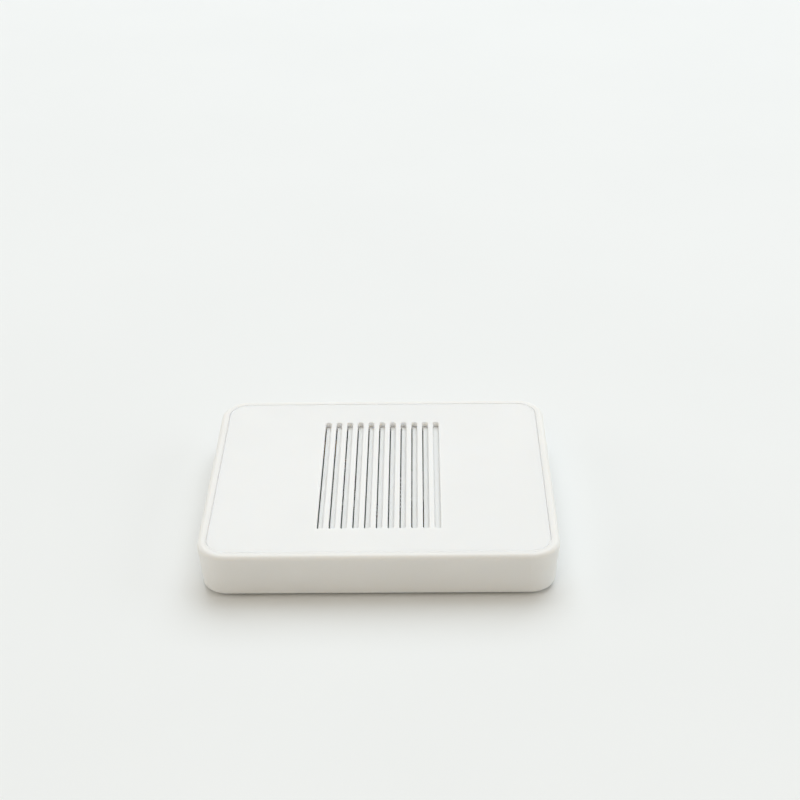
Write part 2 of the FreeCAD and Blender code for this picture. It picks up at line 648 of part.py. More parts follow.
def add_screw_bosses(body):
    """Four corner bosses, each with crossed gussets, a hole and a pocket for its screw's head."""
    place = {"x": -BOSS_X, "y": -BOSS_Y}
    sketch = sketch_on(body, "boss_circle", "XY_Plane", z=FLOOR, **place)
    draw_circle(sketch, s.boss_diameter)
    boss = pad(body, "boss", sketch, s.boss_height)
    gussets = []
    for name, width, depth in (("across", 2 * s.boss_inset, s.gusset_thickness),
                               ("along", s.gusset_thickness, 2 * s.boss_inset)):
        sketch = sketch_on(body, "gusset_%s_outline" % name, "XY_Plane", z=FLOOR, **place)
        draw_rectangle(sketch, width, depth)
        gussets.append(pad(body, "gusset_" + name, sketch, s.gusset_height))
    sketch = sketch_on(body, "screw_hole_circle", "XY_Plane", z=BASE, **place)
    draw_circle(sketch, s.screw_hole_diameter)
    hole = pocket(body, "screw_hole", sketch, BOSS_TOP - BASE, forwards=True)
    sketch = sketch_on(body, "counterbore_circle", "XY_Plane", z=BASE, **place)
    draw_circle(sketch, s.counterbore_diameter)
    counterbore = pocket(body, "counterbore", sketch, s.counterbore_depth, forwards=True)
    copies(body, "bosses", [boss] + gussets + [hole, counterbore],
           [("X", 2 * BOSS_X, 2), ("Y", 2 * BOSS_Y, 2)])


def add_standoffs(body):
    """Four posts that carry the circuit board, each with a blind screw hole."""
    place = {"x": -STANDOFF_X, "y": STANDOFF_FRONT}
    sketch = sketch_on(body, "standoff_circle", "XY_Plane", z=FLOOR, **place)
    draw_circle(sketch, s.standoff_diameter)
    post = pad(body, "standoff", sketch, BOARD_UNDER - FLOOR)
    sketch = sketch_on(body, "pilot_circle", "XY_Plane", z=BOARD_UNDER, **place)
    draw_circle(sketch, s.board_screw_diameter + 2 * s.thread_clearance)
    pilot = pocket(body, "pilot", sketch, STANDOFF_PILOT_DEPTH)
    copies(body, "standoffs", [post, pilot], [("X", 2 * STANDOFF_X, 2), ("Y", STANDOFF_STEP_Y, 2)])


def add_foot_seats(body):
    """Four shallow round seats for the feet, in the underside."""
    sketch = sketch_on(body, "foot_seat_circle", "XY_Plane", x=-FOOT_X, y=-FOOT_Y, z=BASE)
    draw_circle(sketch, s.foot_diameter + 2 * s.foot_clearance)
    seat = pocket(body, "foot_seat", sketch, s.foot_recess, forwards=True)
    copies(body, "foot_seats", [seat], [("X", 2 * FOOT_X, 2), ("Y", 2 * FOOT_Y, 2)])


def cut_back_wall(body):
    """The inlet's hollow and window, two indicator holes and the reset button's hole."""
    through = RIM_BACK - WALL_INSIDE
    inlet = {"x": -s.port_offset, "y": RIM_BACK, "z": PORT_MIDDLE}
    sketch = sketch_on(body, "inlet_hollow_outline", "XZ_Plane", **inlet)
    draw_rounded(sketch, s.port_recess_width, s.port_recess_height, s.port_recess_corner)
    pocket(body, "inlet_hollow", sketch, s.port_recess_depth, forwards=True)
    sketch = sketch_on(body, "inlet_window_outline", "XZ_Plane", **inlet)
    margin = 2 * (s.port_lip + s.port_clearance)
    draw_rectangle(sketch, s.port_width + margin, s.port_height + margin)
    pocket(body, "inlet_window", sketch, through, forwards=True)
    sketch = sketch_on(body, "indicator_circle", "XZ_Plane", x=s.led_offset, y=RIM_BACK, z=LED_LEVEL)
    draw_circle(sketch, s.led_diameter + 2 * s.led_clearance)
    hole = pocket(body, "indicator_hole", sketch, through, forwards=True)
    copies(body, "indicator_holes", [hole], [("X", s.led_spacing, 2)])
    sketch = sketch_on(body, "reset_circle", "XZ_Plane", x=s.reset_offset, y=RIM_BACK, z=RESET_LEVEL)
    draw_circle(sketch, s.button_diameter + 2 * s.button_clearance)
    pocket(body, "reset_hole", sketch, through, forwards=True)


def make_top_cover():
    """The inset cover: its plate, vent slots, locating skirt, screw posts and baffle stakes."""
    body = new_body("top_cover")
    inset = s.rim_width + s.cover_gap
    sketch = sketch_on(body, "plate_outline", "XY_Plane", z=COVER_UNDER)
    draw_rounded(sketch, s.case_width - 2 * inset, s.case_depth - 2 * inset, s.case_corner - inset)
    plate = pad(body, "plate", sketch, s.cover_thickness)
    round_edges(body, "plate_rounding", plate, level_edges(plate, s.case_height), s.cover_radius)

    sketch = sketch_on(body, "skirt_outline", "XY_Plane", z=COVER_UNDER)
    for inwards in (s.skirt_gap, s.skirt_gap + s.skirt_thickness):
        draw_rounded(sketch, INNER_WIDTH - 2 * inwards, INNER_DEPTH - 2 * inwards, INNER_CORNER - inwards)
    pad(body, "skirt", sketch, s.skirt_depth, backwards=True)

    sketch = sketch_on(body, "slot_outline", "XY_Plane", x=FIRST_SLOT_X, z=s.case_height)
    draw_obround(sketch, s.slot_width, s.slot_length)
    slot = pocket(body, "slot", sketch, s.cover_thickness)
    slots = copies(body, "slots", [slot], [("X", s.slot_pitch, s.slot_count)])
    half_field = value_of(BAFFLE_WIDTH) / 2
    top = value_of(s.case_height)
    rims = edges_where(slots, lambda box: box.ZMin > top - SAME_LEVEL and abs(box.Center.x) < half_field
                       and box.XLength < value_of(s.slot_pitch))
    bevel_edges(body, "slot_bevel", slots, rims, s.slot_bevel)

    add_screw_posts(body)
    add_baffle_stakes(body)
    return body


def add_screw_posts(body):
    """Four posts under the cover that take the case screws."""
    place = {"x": -BOSS_X, "y": -BOSS_Y}
    sketch = sketch_on(body, "post_circle", "XY_Plane", z=COVER_UNDER, **place)
    draw_circle(sketch, s.post_diameter)
    post = pad(body, "post", sketch, COVER_UNDER - POST_END, backwards=True)
    sketch = sketch_on(body, "post_pilot_circle", "XY_Plane", z=POST_END, **place)
    draw_circle(sketch, s.case_screw_diameter + 2 * s.thread_clearance)
    pilot = pocket(body, "post_pilot", sketch, POST_PILOT_END - POST_END, forwards=True)
    copies(body, "posts", [post, pilot], [("X", 2 * BOSS_X, 2), ("Y", 2 * BOSS_Y, 2)])


def add_baffle_stakes(body):
    """Stakes whose flattened ends hold the baffle against the cover."""
    place = {"x": -STAKE_X, "y": -STAKE_Y}
    sketch = sketch_on(body, "stake_circle", "XY_Plane", z=COVER_UNDER, **place)
    draw_circle(sketch, s.stake_diameter)
    stem = pad(body, "stake", sketch, s.baffle_thickness, backwards=True)
    sketch = sketch_on(body, "stake_head_circle", "XY_Plane", z=BAFFLE_UNDER, **place)
    draw_circle(sketch, s.stake_head_diameter)
    head = pad(body, "stake_head", sketch, s.stake_head_height, backwards=True)
    copies(body, "stakes", [stem, head], [("X", 2 * STAKE_X, 2), ("Y", STAKE_Y, STAKE_ROWS)])


def make_vent_baffle():
    """The plate behind the slots, with one narrow slit at the left of each slot but the last."""
    body = new_body("vent_baffle")
    sketch = sketch_on(body, "plate_outline", "XY_Plane", z=BAFFLE_UNDER)
    draw_rounded(sketch, BAFFLE_WIDTH, BAFFLE_DEPTH, s.baffle_corner)
    pad(body, "plate", sketch, s.baffle_thickness)
    sketch = sketch_on(body, "stake_hole_circle", "XY_Plane", x=-STAKE_X, y=-STAKE_Y, z=COVER_UNDER)
    draw_circle(sketch, s.stake_diameter + 2 * s.stake_clearance)
    hole = pocket(body, "stake_hole", sketch, s.baffle_thickness)
    copies(body, "stake_holes", [hole], [("X", 2 * STAKE_X, 2), ("Y", STAKE_Y, STAKE_ROWS)])
    slot_left = FIRST_SLOT_X - s.slot_width / 2
    middle = slot_left + (s.slit_open - s.slit_hidden) / 2
    sketch = sketch_on(body, "slit_outline", "XY_Plane", x=middle, z=COVER_UNDER)
    draw_rectangle(sketch, s.slit_open + s.slit_hidden, s.slot_length - 2 * s.slit_end_gap)
    slit = pocket(body, "slit", sketch, s.baffle_thickness)
    copies(body, "slits", [slit], [("X", s.slot_pitch, s.slot_count - 1)])
    return body


def make_rubber_feet():
    """Four thin round feet in their seats under the case."""
    body = new_body("rubber_feet")
    sketch = sketch_on(body, "foot_circle", "XY_Plane", x=-FOOT_X, y=-FOOT_Y)
    draw_circle(sketch, s.foot_diameter)
    foot = pad(body, "foot", sketch, s.foot_proud + s.foot_recess)
    copies(body, "feet", [foot], [("X", 2 * FOOT_X, 2), ("Y", 2 * FOOT_Y, 2)])
    return body


# Fasteners

def make_screws(label, place, head, shank, spacing):
    """Four screws that point up from their seats, with plain round heads and cross recesses.

    place is the first screw's seat, head and shank are each a diameter and a length, and spacing
    is the distance to the next screw along X and along Y.
    """
    body = new_body(label, *place)
    head_diameter, head_height = head
    diameter, length = shank
    sketch = sketch_on(body, "screw_profile", "XZ_Plane")
    draw_outline(sketch, [
        (0, -head_height),
        (head_diameter / 2, -head_height),
        (head_diameter / 2, 0),
        (diameter / 2, 0),
        (diameter / 2, length),
        (0, length),
    ])
    turned = revolve(body, "screw", sketch)
    recess = []
    for name, width, depth in (("across", s.drive_span, s.drive_width),
                               ("along", s.drive_width, s.drive_span)):
        sketch = sketch_on(body, "recess_%s_outline" % name, "XY_Plane", z=-head_height)
        draw_rectangle(sketch, width, depth)
        recess.append(pocket(body, "recess_" + name, sketch, s.drive_depth, forwards=True))
    copies(body, "screws", [turned] + recess, [("X", spacing[0], 2), ("Y", spacing[1], 2)])
    return body


def make_case_screws():
    """The screws that hold the cover down, from below."""
    length = POST_PILOT_END - CASE_SCREW_SEAT - s.case_screw_end_gap
    return make_screws("case_screws", (-BOSS_X, -BOSS_Y, CASE_SCREW_SEAT),
                       (s.case_screw_head_diameter, s.case_screw_head_height),
                       (s.case_screw_diameter, length), (2 * BOSS_X, 2 * BOSS_Y))


def make_board_screws():
    """The screws that hold the circuit board down, turned over so that they point down."""
    length = s.board_thickness + STANDOFF_PILOT_DEPTH - s.board_screw_end_gap
    body = make_screws("board_screws", (-STANDOFF_X, STANDOFF_FRONT + STANDOFF_STEP_Y, BOARD_TOP),
                       (s.board_screw_head_diameter, s.board_screw_head_height),
                       (s.board_screw_diameter, length), (2 * STANDOFF_X, STANDOFF_STEP_Y))
    body.Placement.Rotation = FreeCAD.Rotation(Vector(1, 0, 0), 180)
    return body


# Circuit board and radio module

def make_main_board():
    """The main circuit board with its screw holes and the indicators' lead holes."""
    body = new_body("main_board", y=BOARD_Y, z=BOARD_UNDER)
    sketch = sketch_on(body, "board_outline", "XY_Plane")
    draw_rounded(sketch, s.board_width, s.board_depth, s.board_corner)
    pad(body, "board", sketch, s.board_thickness)
    sketch = sketch_on(body, "screw_hole_circle", "XY_Plane", x=-STANDOFF_X, y=-STANDOFF_STEP_Y / 2,
                       z=s.board_thickness)
    draw_circle(sketch, s.board_hole_diameter)
    hole = pocket(body, "screw_hole", sketch, s.board_thickness)
    copies(body, "screw_holes", [hole], [("X", 2 * STANDOFF_X, 2), ("Y", STANDOFF_STEP_Y, 2)])
    sketch = sketch_on(body, "lead_hole_circle", "XY_Plane", x=s.led_offset - s.lead_pitch / 2,
                       y=LEAD_Y - BOARD_Y, z=s.board_thickness)
    draw_circle(sketch, s.lead_hole_diameter)
    hole = pocket(body, "lead_hole", sketch, s.board_thickness)
    copies(body, "lead_holes", [hole], [("X", s.lead_pitch, 2), ("X", s.led_spacing, 2)])
    return body


def make_wifi_module_board():
    """The radio module's board with a row of solder notches along each side."""
    body = new_body("wifi_module_board", s.module_x, MODULE_Y, BOARD_TOP)
    sketch = sketch_on(body, "module_outline", "XY_Plane")
    draw_rectangle(sketch, s.module_width, s.module_depth)
    pad(body, "module", sketch, s.module_thickness)
    first = s.module_depth / 2 - s.module_pad_inset - (s.module_pad_count - 1) * s.module_pad_pitch
    sketch = sketch_on(body, "notch_circle", "XY_Plane", x=-s.module_width / 2, y=first,
                       z=s.module_thickness)
    draw_circle(sketch, s.module_pad_diameter)
    notch = pocket(body, "notch", sketch, s.module_thickness)
    copies(body, "notches", [notch],
           [("X", s.module_width, 2), ("Y", s.module_pad_pitch, s.module_pad_count)])
    return body


def make_wifi_module_shield():
    """The thin drawn can over the radio module's chips, open below."""
    body = new_body("wifi_module_shield", s.module_x, SHIELD_Y, MODULE_TOP)
    sketch = sketch_on(body, "can_outline", "XY_Plane")
    draw_rounded(sketch, s.shield_width, s.shield_depth, s.shield_corner)
    can = pad(body, "can", sketch, s.shield_height)
    bevel_edges(body, "can_bevel", can, level_edges(can, s.shield_height), s.shield_bevel)
    sketch = sketch_on(body, "can_inside_outline", "XY_Plane")
    draw_rounded(sketch, s.shield_width - 2 * s.shield_wall, s.shield_depth - 2 * s.shield_wall,
                 s.shield_corner - s.shield_wall)
    pocket(body, "can_inside", sketch, s.shield_height - s.shield_wall, forwards=True)
    return body


def size_of(label, field):
    """The sheet's size of a small part."""
    return getattr(s, label + "_" + field)


def make_chip(label, level, middle_x, middle_y):
    """A plain moulded or ceramic part with bevelled top edges, on a board about the given middle."""
    body = new_body(label, size_of(label, "x") + middle_x, size_of(label, "y") + middle_y, level)
    height = size_of(label, "height")
    sketch = sketch_on(body, "chip_outline", "XY_Plane")
    draw_rectangle(sketch, size_of(label, "width"), size_of(label, "depth"))
    block = pad(body, "chip", sketch, height)
    bevel_edges(body, "chip_bevel", block, level_edges(block, height), s.chip_bevel)
    return body


def make_chips(label):
    """A group of equal small parts on the board, in columns and rows."""
    body = new_body(label, size_of(label, "x"), BOARD_Y + size_of(label, "y"), BOARD_TOP)
    sketch = sketch_on(body, "chip_outline", "XY_Plane")
    draw_rectangle(sketch, size_of(label, "width"), size_of(label, "depth"))
    block = pad(body, "chip", sketch, size_of(label, "height"))
    copies(body, "chips", [block], [
        ("X", size_of(label, "column_pitch"), size_of(label, "columns")),
        ("Y", size_of(label, "row_pitch"), size_of(label, "rows")),
    ])
    return body


def gull_wing(body, side, level, thickness, width, along):
    """A bent lead that leaves a chip's side, drops and rests on the board.

    side is where the chip's side is, level is the height at which the lead leaves it, and along is
    the sideways place of the lead.
    """
    shoulder = side + LEAD_DROP * thickness
    foot = shoulder + LEAD_FOOT * thickness
    sketch = sketch_on(body, "lead_profile", "YZ_Plane", x=along)
    draw_outline(sketch, [
        (side - s.lead_start, level),
        (shoulder - thickness, level),
        (shoulder - thickness, 0),
        (foot, 0),
        (foot, thickness),
        (shoulder, thickness),
        (shoulder, level + thickness),
        (side - s.lead_start, level + thickness),
    ])
    return pad(body, "lead", sketch, width, both_ways=True)


def leaded_chip(label, x, y, width, depth, height, stand):
    """The moulded block of a chip that stands on bent leads, placed from the board's centre."""
    body = new_body(label, x, BOARD_Y + y, BOARD_TOP)
    sketch = sketch_on(body, "chip_outline", "XY_Plane", z=stand)
    draw_rectangle(sketch, width, depth)
    block = pad(body, "chip", sketch, height)
    bevel_edges(body, "chip_bevel", block, level_edges(block, stand + height), s.chip_bevel)
    return body


def make_microcontroller():
    """A square chip with a row of bent leads on each side."""
    body = leaded_chip("microcontroller", s.mcu_x, s.mcu_y, s.mcu_width, s.mcu_width,
                       s.mcu_body_height, s.mcu_stand)
    first = -(s.mcu_lead_count - 1) * s.mcu_lead_pitch / 2
    lead = gull_wing(body, s.mcu_width / 2, s.mcu_lead_level, s.mcu_lead_thickness,
                     s.mcu_lead_width, first)
    leads = body.newObject("PartDesign::MultiTransform", "leads")
    leads.Originals = [lead]
    body.Tip = leads
    row = row_pattern(body, "leads_row", "X", s.mcu_lead_pitch, s.mcu_lead_count)
    turn = body.newObject("PartDesign::PolarPattern", "leads_turn")
    turn.Axis = (origin_feature(body, "Z_Axis"), [""])
    turn.Angle = FULL_TURN
    turn.Occurrences = CHIP_SIDES
    leads.Transformations = [row, turn]
    body.Tip = leads
    doc.recompute()
    return body


def make_voltage_regulator():
    """A power chip with a wide tab on one side and a row of leads on the other."""
    body = leaded_chip("voltage_regulator", s.regulator_x, s.regulator_y, s.regulator_width,
                       s.regulator_depth, s.regulator_body_height, s.regulator_stand)
    first = -(s.regulator_lead_count - 1) * s.regulator_lead_pitch / 2
    lead = gull_wing(body, s.regulator_depth / 2, s.regulator_lead_level, s.regulator_lead_thickness,
                     s.regulator_lead_width, first)
    copies(body, "leads", [lead], [("X", s.regulator_lead_pitch, s.regulator_lead_count)])
    reach = s.regulator_tab_reach + s.lead_start
    sketch = sketch_on(body, "tab_outline", "XY_Plane",
                       y=s.lead_start - (s.regulator_depth + reach) / 2)
    draw_rectangle(sketch, s.regulator_tab_width, reach)
    pad(body, "tab", sketch, s.regulator_lead_thickness)
    return body


# Power inlet

def inlet_outline(sketch, grow):
    """The inlet's section: a box with bevelled lower corners, grown or shrunk by a margin."""
    half = s.port_width / 2 + grow
    low = -grow
    high = s.port_height + grow
    flat = half - s.port_chamfer_width
    bevel_top = s.port_chamfer_height - grow
    draw_outline(sketch, [(-flat, low), (flat, low), (half, bevel_top), (half, high), (-half, high),
                          (-half, bevel_top)])


def make_inlet_shell():
    """The folded metal shell of the inlet, with a flared mouth and solder tabs."""
    body = new_body("inlet_shell", -s.port_offset, PORT_MOUTH, BOARD_TOP)
    sketch = sketch_on(body, "shell_outline", "XZ_Plane")
    inlet_outline(sketch, Size(0.0, "0"))
    pad(body, "shell", sketch, s.port_length)
    sketch = sketch_on(body, "flare_outline", "XZ_Plane")
    inlet_outline(sketch, s.port_lip)
    pad(body, "flare", sketch, s.port_lip_length)
    sketch = sketch_on(body, "tab_outline", "XY_Plane", y=-s.port_length / 2)
    draw_rectangle(sketch, s.port_width + 2 * s.port_tab_reach, s.port_tab_length)
    pad(body, "tabs", sketch, s.port_tab_thickness)
    sketch = sketch_on(body, "mouth_outline", "XZ_Plane")
    inlet_outline(sketch, -s.port_wall)
    pocket(body, "mouth", sketch, s.port_length, forwards=True)
    return body


def make_inlet_tongue():
    """The moulded block at the back of the inlet and the tongue that carries the contacts."""
    body = new_body("inlet_tongue", -s.port_offset, PORT_MOUTH, BOARD_TOP)
    base_front = s.tongue_base_length - s.port_length
    sketch = sketch_on(body, "block_outline", "XZ_Plane", y=base_front)
    inlet_outline(sketch, -s.port_wall)
    pad(body, "block", sketch, s.tongue_base_length)
    sketch = sketch_on(body, "tongue_outline", "XZ_Plane", y=-s.tongue_setback,
                       z=s.tongue_level + s.tongue_thickness / 2)
    draw_rectangle(sketch, s.tongue_width, s.tongue_thickness)
    pad(body, "tongue", sketch, s.port_length - s.tongue_setback)
    sketch = sketch_on(body, "channel_outline", "XZ_Plane", x=FIRST_CONTACT_X, y=base_front,
                       z=s.tongue_level - s.contact_thickness / 2)
    draw_rectangle(sketch, s.contact_width, s.contact_thickness)
    channel = pocket(body, "channel", sketch, s.tongue_base_length, forwards=True)
    copies(body, "channels", [channel], [("X", s.contact_pitch, s.contact_count)])
    return body


def make_inlet_contacts():
    """The contact strips under the tongue, with tails that bend down to the board."""
    body = new_body("inlet_contacts", -s.port_offset, PORT_MOUTH, BOARD_TOP)
    top = s.tongue_level
    bottom = s.tongue_level - s.contact_thickness
    back = s.port_length + s.contact_tail
    tip = s.tongue_setback + s.contact_setback
    sketch = sketch_on(body, "contact_profile", "YZ_Plane", x=FIRST_CONTACT_X)
    draw_outline(sketch, [
        (-tip, bottom),
        (-tip, top),
        (-back, top),
        (-back, 0),
        (s.contact_thickness - back, 0),
        (s.contact_thickness - back, bottom),
    ])
    contact = pad(body, "contact", sketch, s.contact_width, both_ways=True)
    copies(body, "contacts", [contact], [("X", s.contact_pitch, s.contact_count)])
    return body


# Indicators and reset button

def make_indicator(label, x):
    """A round indicator lamp that lies on the board and looks out of the back wall."""
    body = new_body(label, x, LED_BACK, LED_LEVEL)
    sketch = sketch_on(body, "lens_profile", "XY_Plane")
    draw_domed_outline(sketch, s.led_flange_diameter / 2, s.led_flange_length, s.led_diameter / 2,
                       s.led_length)
    revolve(body, "lens", sketch)
    return body


def make_led_leads():
    """Four square wires that bend down from the indicators and pass through the board."""
    body = new_body("led_leads", s.led_offset - s.lead_pitch / 2, LED_BACK, LED_LEVEL)
    half = s.lead_width / 2
    tip = LED_LEVEL - FLOOR - s.lead_floor_gap
    sketch = sketch_on(body, "lead_profile", "YZ_Plane")
    draw_outline(sketch, [
        (0, -half),
        (0, half),
        (-s.lead_reach, half),
        (-s.lead_reach, -tip),
        (s.lead_width - s.lead_reach, -tip),
        (s.lead_width - s.lead_reach, -half),
    ])
    lead = pad(body, "lead", sketch, s.lead_width, both_ways=True)
    copies(body, "leads", [lead], [("X", s.lead_pitch, 2), ("X", s.led_spacing, 2)])
    return body


def make_reset_switch_case():
    """The moulded block of the reset switch, with the bore that its plunger slides in."""
    body = new_body("reset_switch_case", s.reset_offset, SWITCH_FACE, BOARD_TOP)
    depth = s.switch_depth
    front = -s.switch_plate_thickness
    sketch = sketch_on(body, "block_outline", "XY_Plane", y=front - depth / 2)
    draw_rectangle(sketch, s.switch_width, depth)
    pad(body, "block", sketch, s.switch_height)
    sketch = sketch_on(body, "bore_circle", "XZ_Plane", y=front, z=RESET_LEVEL - BOARD_TOP)
    draw_circle(sketch, s.plunger_diameter + 2 * s.plunger_clearance)
    bore_depth = s.plunger_seat + s.plunger_bore_room - s.switch_plate_thickness
    pocket(body, "bore", sketch, bore_depth, forwards=True)
    return body


def make_reset_switch_plate():
    """The stamped face of the reset switch, round its plunger."""
    body = new_body("reset_switch_plate", s.reset_offset, SWITCH_FACE, BOARD_TOP)
    margin = 2 * s.switch_plate_gap
    sketch = sketch_on(body, "plate_outline", "XZ_Plane", z=s.switch_height / 2)
    draw_rectangle(sketch, s.switch_width - margin, s.switch_height - margin)
    pad(body, "plate", sketch, s.switch_plate_thickness)
    sketch = sketch_on(body, "hole_circle", "XZ_Plane", z=RESET_LEVEL - BOARD_TOP)
    draw_circle(sketch, s.plunger_diameter + 2 * s.plunger_clearance)
    pocket(body, "hole", sketch, s.switch_plate_thickness, forwards=True)
    return body


def make_reset_plunger():
    """The switch's own plunger, from its bore to the button's collar."""
    body = new_body("reset_plunger", s.reset_offset, SWITCH_FACE - s.plunger_seat, RESET_LEVEL)
    sketch = sketch_on(body, "plunger_circle", "XZ_Plane")
    draw_circle(sketch, s.plunger_diameter)
    pad(body, "plunger", sketch, s.plunger_seat + s.reset_travel_room, backwards=True)
    return body


def make_reset_button():
    """The button: a collar inside the wall and a round-tipped head in the wall's hole."""
    body = new_body("reset_button", s.reset_offset, COLLAR_FRONT, RESET_LEVEL)
    length = RIM_BACK - s.button_tip_setback - COLLAR_FRONT
    sketch = sketch_on(body, "button_profile", "XY_Plane")
    draw_outline(sketch, [
        (0, 0),
        (s.button_flange_diameter / 2, 0),
        (s.button_flange_diameter / 2, s.button_flange_length),
        (s.button_diameter / 2, s.button_flange_length),
        (s.button_diameter / 2, length),
        (0, length),
    ])
    turned = revolve(body, "button", sketch)
    tip = value_of(length)
    rim = edges_where(turned, lambda box: box.YMin > tip - SAME_LEVEL)
    bevel_edges(body, "button_bevel", turned, rim, s.button_tip_bevel)
    return body


def main():
    """Builds every sub-part, tests the document and writes one file for each sub-part."""
    parts = [
        make_lower_case(),
        make_top_cover(),
        make_vent_baffle(),
        make_rubber_feet(),
        make_case_screws(),
        make_board_screws(),
        make_main_board(),
        make_wifi_module_board(),
        make_wifi_module_shield(),
        make_microcontroller(),
        make_voltage_regulator(),
        make_inlet_shell(),
        make_inlet_tongue(),
        make_inlet_contacts(),
        make_indicator("power_led", s.led_offset),
        make_indicator("link_led", s.led_offset + s.led_spacing),
        make_led_leads(),
        make_reset_switch_case(),
        make_reset_switch_plate(),
        make_reset_plunger(),
        make_reset_button(),
    ]
    parts += [make_chip(chip[0], BOARD_TOP, 0, BOARD_Y) for chip in BOARD_CHIPS]
    parts += [make_chip(chip[0], MODULE_TOP, s.module_x, SHIELD_Y) for chip in MODULE_CHIPS]
    parts += [make_chips(group[0]) for group in CHIP_GROUPS]
    doc.recompute()
    for item in doc.Objects:
        if "Invalid" in item.State or "Error" in item.State:
            raise ValueError("%s is %s" % (item.Label, item.State))
    for part in parts:
        if part.Shape.isNull() or not part.Shape.isValid() or not part.Shape.Solids:
            raise ValueError("%s has no valid solid" % part.Label)
    os.makedirs("parts", exist_ok=True)
    for part in parts:
        part.Shape.exportStep(os.path.join("parts", part.Label + ".step"))
        print("%-22s %d solid(s) %.2f mm3" % (part.Label, len(part.Shape.Solids), part.Shape.Volume))


main()
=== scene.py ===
"""Finished look of a flat wifi LED controller, over its fixed frame.

Metres, +Z up, -Y the plain front and +Y the back with the power inlet. The origin is the centre of
the footprint, on the surface that the rubber feet stand on.
"""
import logging
import math
from dataclasses import dataclass, replace
from enum import Enum

import bpy
import numpy as np
from mathutils import Matrix, Vector


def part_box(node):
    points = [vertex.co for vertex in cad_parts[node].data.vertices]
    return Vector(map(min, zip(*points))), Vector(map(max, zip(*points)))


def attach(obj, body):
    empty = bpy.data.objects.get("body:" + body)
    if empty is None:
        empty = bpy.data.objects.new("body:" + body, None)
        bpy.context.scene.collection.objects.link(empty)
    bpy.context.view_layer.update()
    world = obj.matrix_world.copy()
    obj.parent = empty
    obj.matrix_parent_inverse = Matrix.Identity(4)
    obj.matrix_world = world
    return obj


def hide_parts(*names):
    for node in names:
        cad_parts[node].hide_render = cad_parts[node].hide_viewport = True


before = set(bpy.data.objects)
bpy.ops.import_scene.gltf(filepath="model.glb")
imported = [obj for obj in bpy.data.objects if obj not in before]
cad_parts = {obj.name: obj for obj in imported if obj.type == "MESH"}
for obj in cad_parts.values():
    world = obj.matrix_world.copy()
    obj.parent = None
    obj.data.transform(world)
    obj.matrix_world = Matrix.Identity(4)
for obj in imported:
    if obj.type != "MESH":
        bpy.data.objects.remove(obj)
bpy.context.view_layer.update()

MM = 0.001
TAU = 2.0 * math.pi
SQUARE = np.array([[-1.0, -1.0], [1.0, -1.0], [1.0, 1.0], [-1.0, 1.0]])

log = logging.getLogger("led_controller")


class Body(Enum):
    """The bodies that pieces ride on."""

    HOUSING = "housing"
    RESET_KEY = "reset_key"


class Axis(Enum):
    """The three directions of the model."""

    X = 0
    Y = 1
    Z = 2


# Measures of the frame

@dataclass(frozen=True)
class Plan:
    """A rectangle seen from above: its centre and half its lengths, in metres."""

    x: float = 0.0
    y: float = 0.0
    half_x: float = 1.0
    half_y: float = 1.0


@dataclass(frozen=True)
class Extent:
    """The box of a frame node, in metres."""

    low: np.ndarray
    high: np.ndarray

    @classmethod
    def of(cls, node: str) -> "Extent":
        """Reads the box of a node."""
        low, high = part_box(node)
        return cls(np.array(low), np.array(high))

    @property
    def middle(self) -> np.ndarray:
        """The centre of the box."""
        return (self.low + self.high) / 2

    @property
    def size(self) -> np.ndarray:
        """The lengths of the box's sides."""
        return self.high - self.low

    @property
    def plan(self) -> Plan:
        """The box seen from above."""
        return Plan(*self.middle[:2], *self.size[:2] / 2)

    def corners(self, inset: float, level: float) -> list[list[float]]:
        """The four places at a level that lie an inset inside the box's corners."""
        low, high = self.low + inset, self.high - inset
        return [[x, y, level] for x in (low[0], high[0]) for y in (low[1], high[1])]


# Surfaces

def grid_quads(rows: int, columns: int, wrap_rows: bool = False,
               wrap_columns: bool = False) -> np.ndarray:
    """Quads over a grid of points that are numbered row by row.

    Formula: quad (i, j) joins (i, j), (i, j+1), (i+1, j+1) and (i+1, j), and a wrapped direction
    counts round to its start.

    Args:
        rows, columns: How many there are.
        wrap_rows, wrap_columns: Whether the last one meets the first.

    Returns:
        Point numbers, four to a quad.
    """
    index = np.arange(rows * columns).reshape(rows, columns)
    index = np.pad(index, ((0, int(wrap_rows)), (0, int(wrap_columns))), "wrap")
    corners = (index[:-1, :-1], index[:-1, 1:], index[1:, 1:], index[1:, :-1])
    return np.stack(corners, axis=-1).reshape(-1, 4)


@dataclass(frozen=True)
class Skin:
    """A surface of computed points with its quads and triangles."""

    points: np.ndarray
    quads: np.ndarray
    triangles: np.ndarray

    def outward(self) -> "Skin":
        """Turns the faces of a closed skin outwards.

        Formula: the sum over the triangles of a . (b x c) is six times the volume, and it is
        negative where the faces point inwards.

        Returns:
            The skin, with every face reversed if its volume came out negative.
        """
        corners = np.vstack([self.quads[:, [0, 1, 2]], self.quads[:, [0, 2, 3]], self.triangles])
        a, b, c = (self.points[corners[:, k]] for k in range(3))
        if np.einsum("ij,ij->i", a, np.cross(b, c)).sum() >= 0:
            return self
        return Skin(self.points, self.quads[:, ::-1], self.triangles[:, ::-1])

    def moved(self, places: list[list[float]]) -> "Skin":
        """The skin repeated at several places, each an offset in metres."""
        return joined([replace(self, points=self.points + place) for place in places])

    def scaled(self, x: float, y: float, z: float) -> "Skin":
        """The skin stretched along each direction."""
        return replace(self, points=self.points * np.array([x, y, z]))

    def upside_down(self) -> "Skin":
        """The skin turned half a turn about X."""
        return self.scaled(1.0, -1.0, -1.0)

    def lying(self) -> "Skin":
        """The skin with its Z axis laid down along +Y: (x, y, z) goes to (x, z, -y)."""
        return replace(self, points=self.points[:, [0, 2, 1]]).scaled(1.0, 1.0, -1.0)


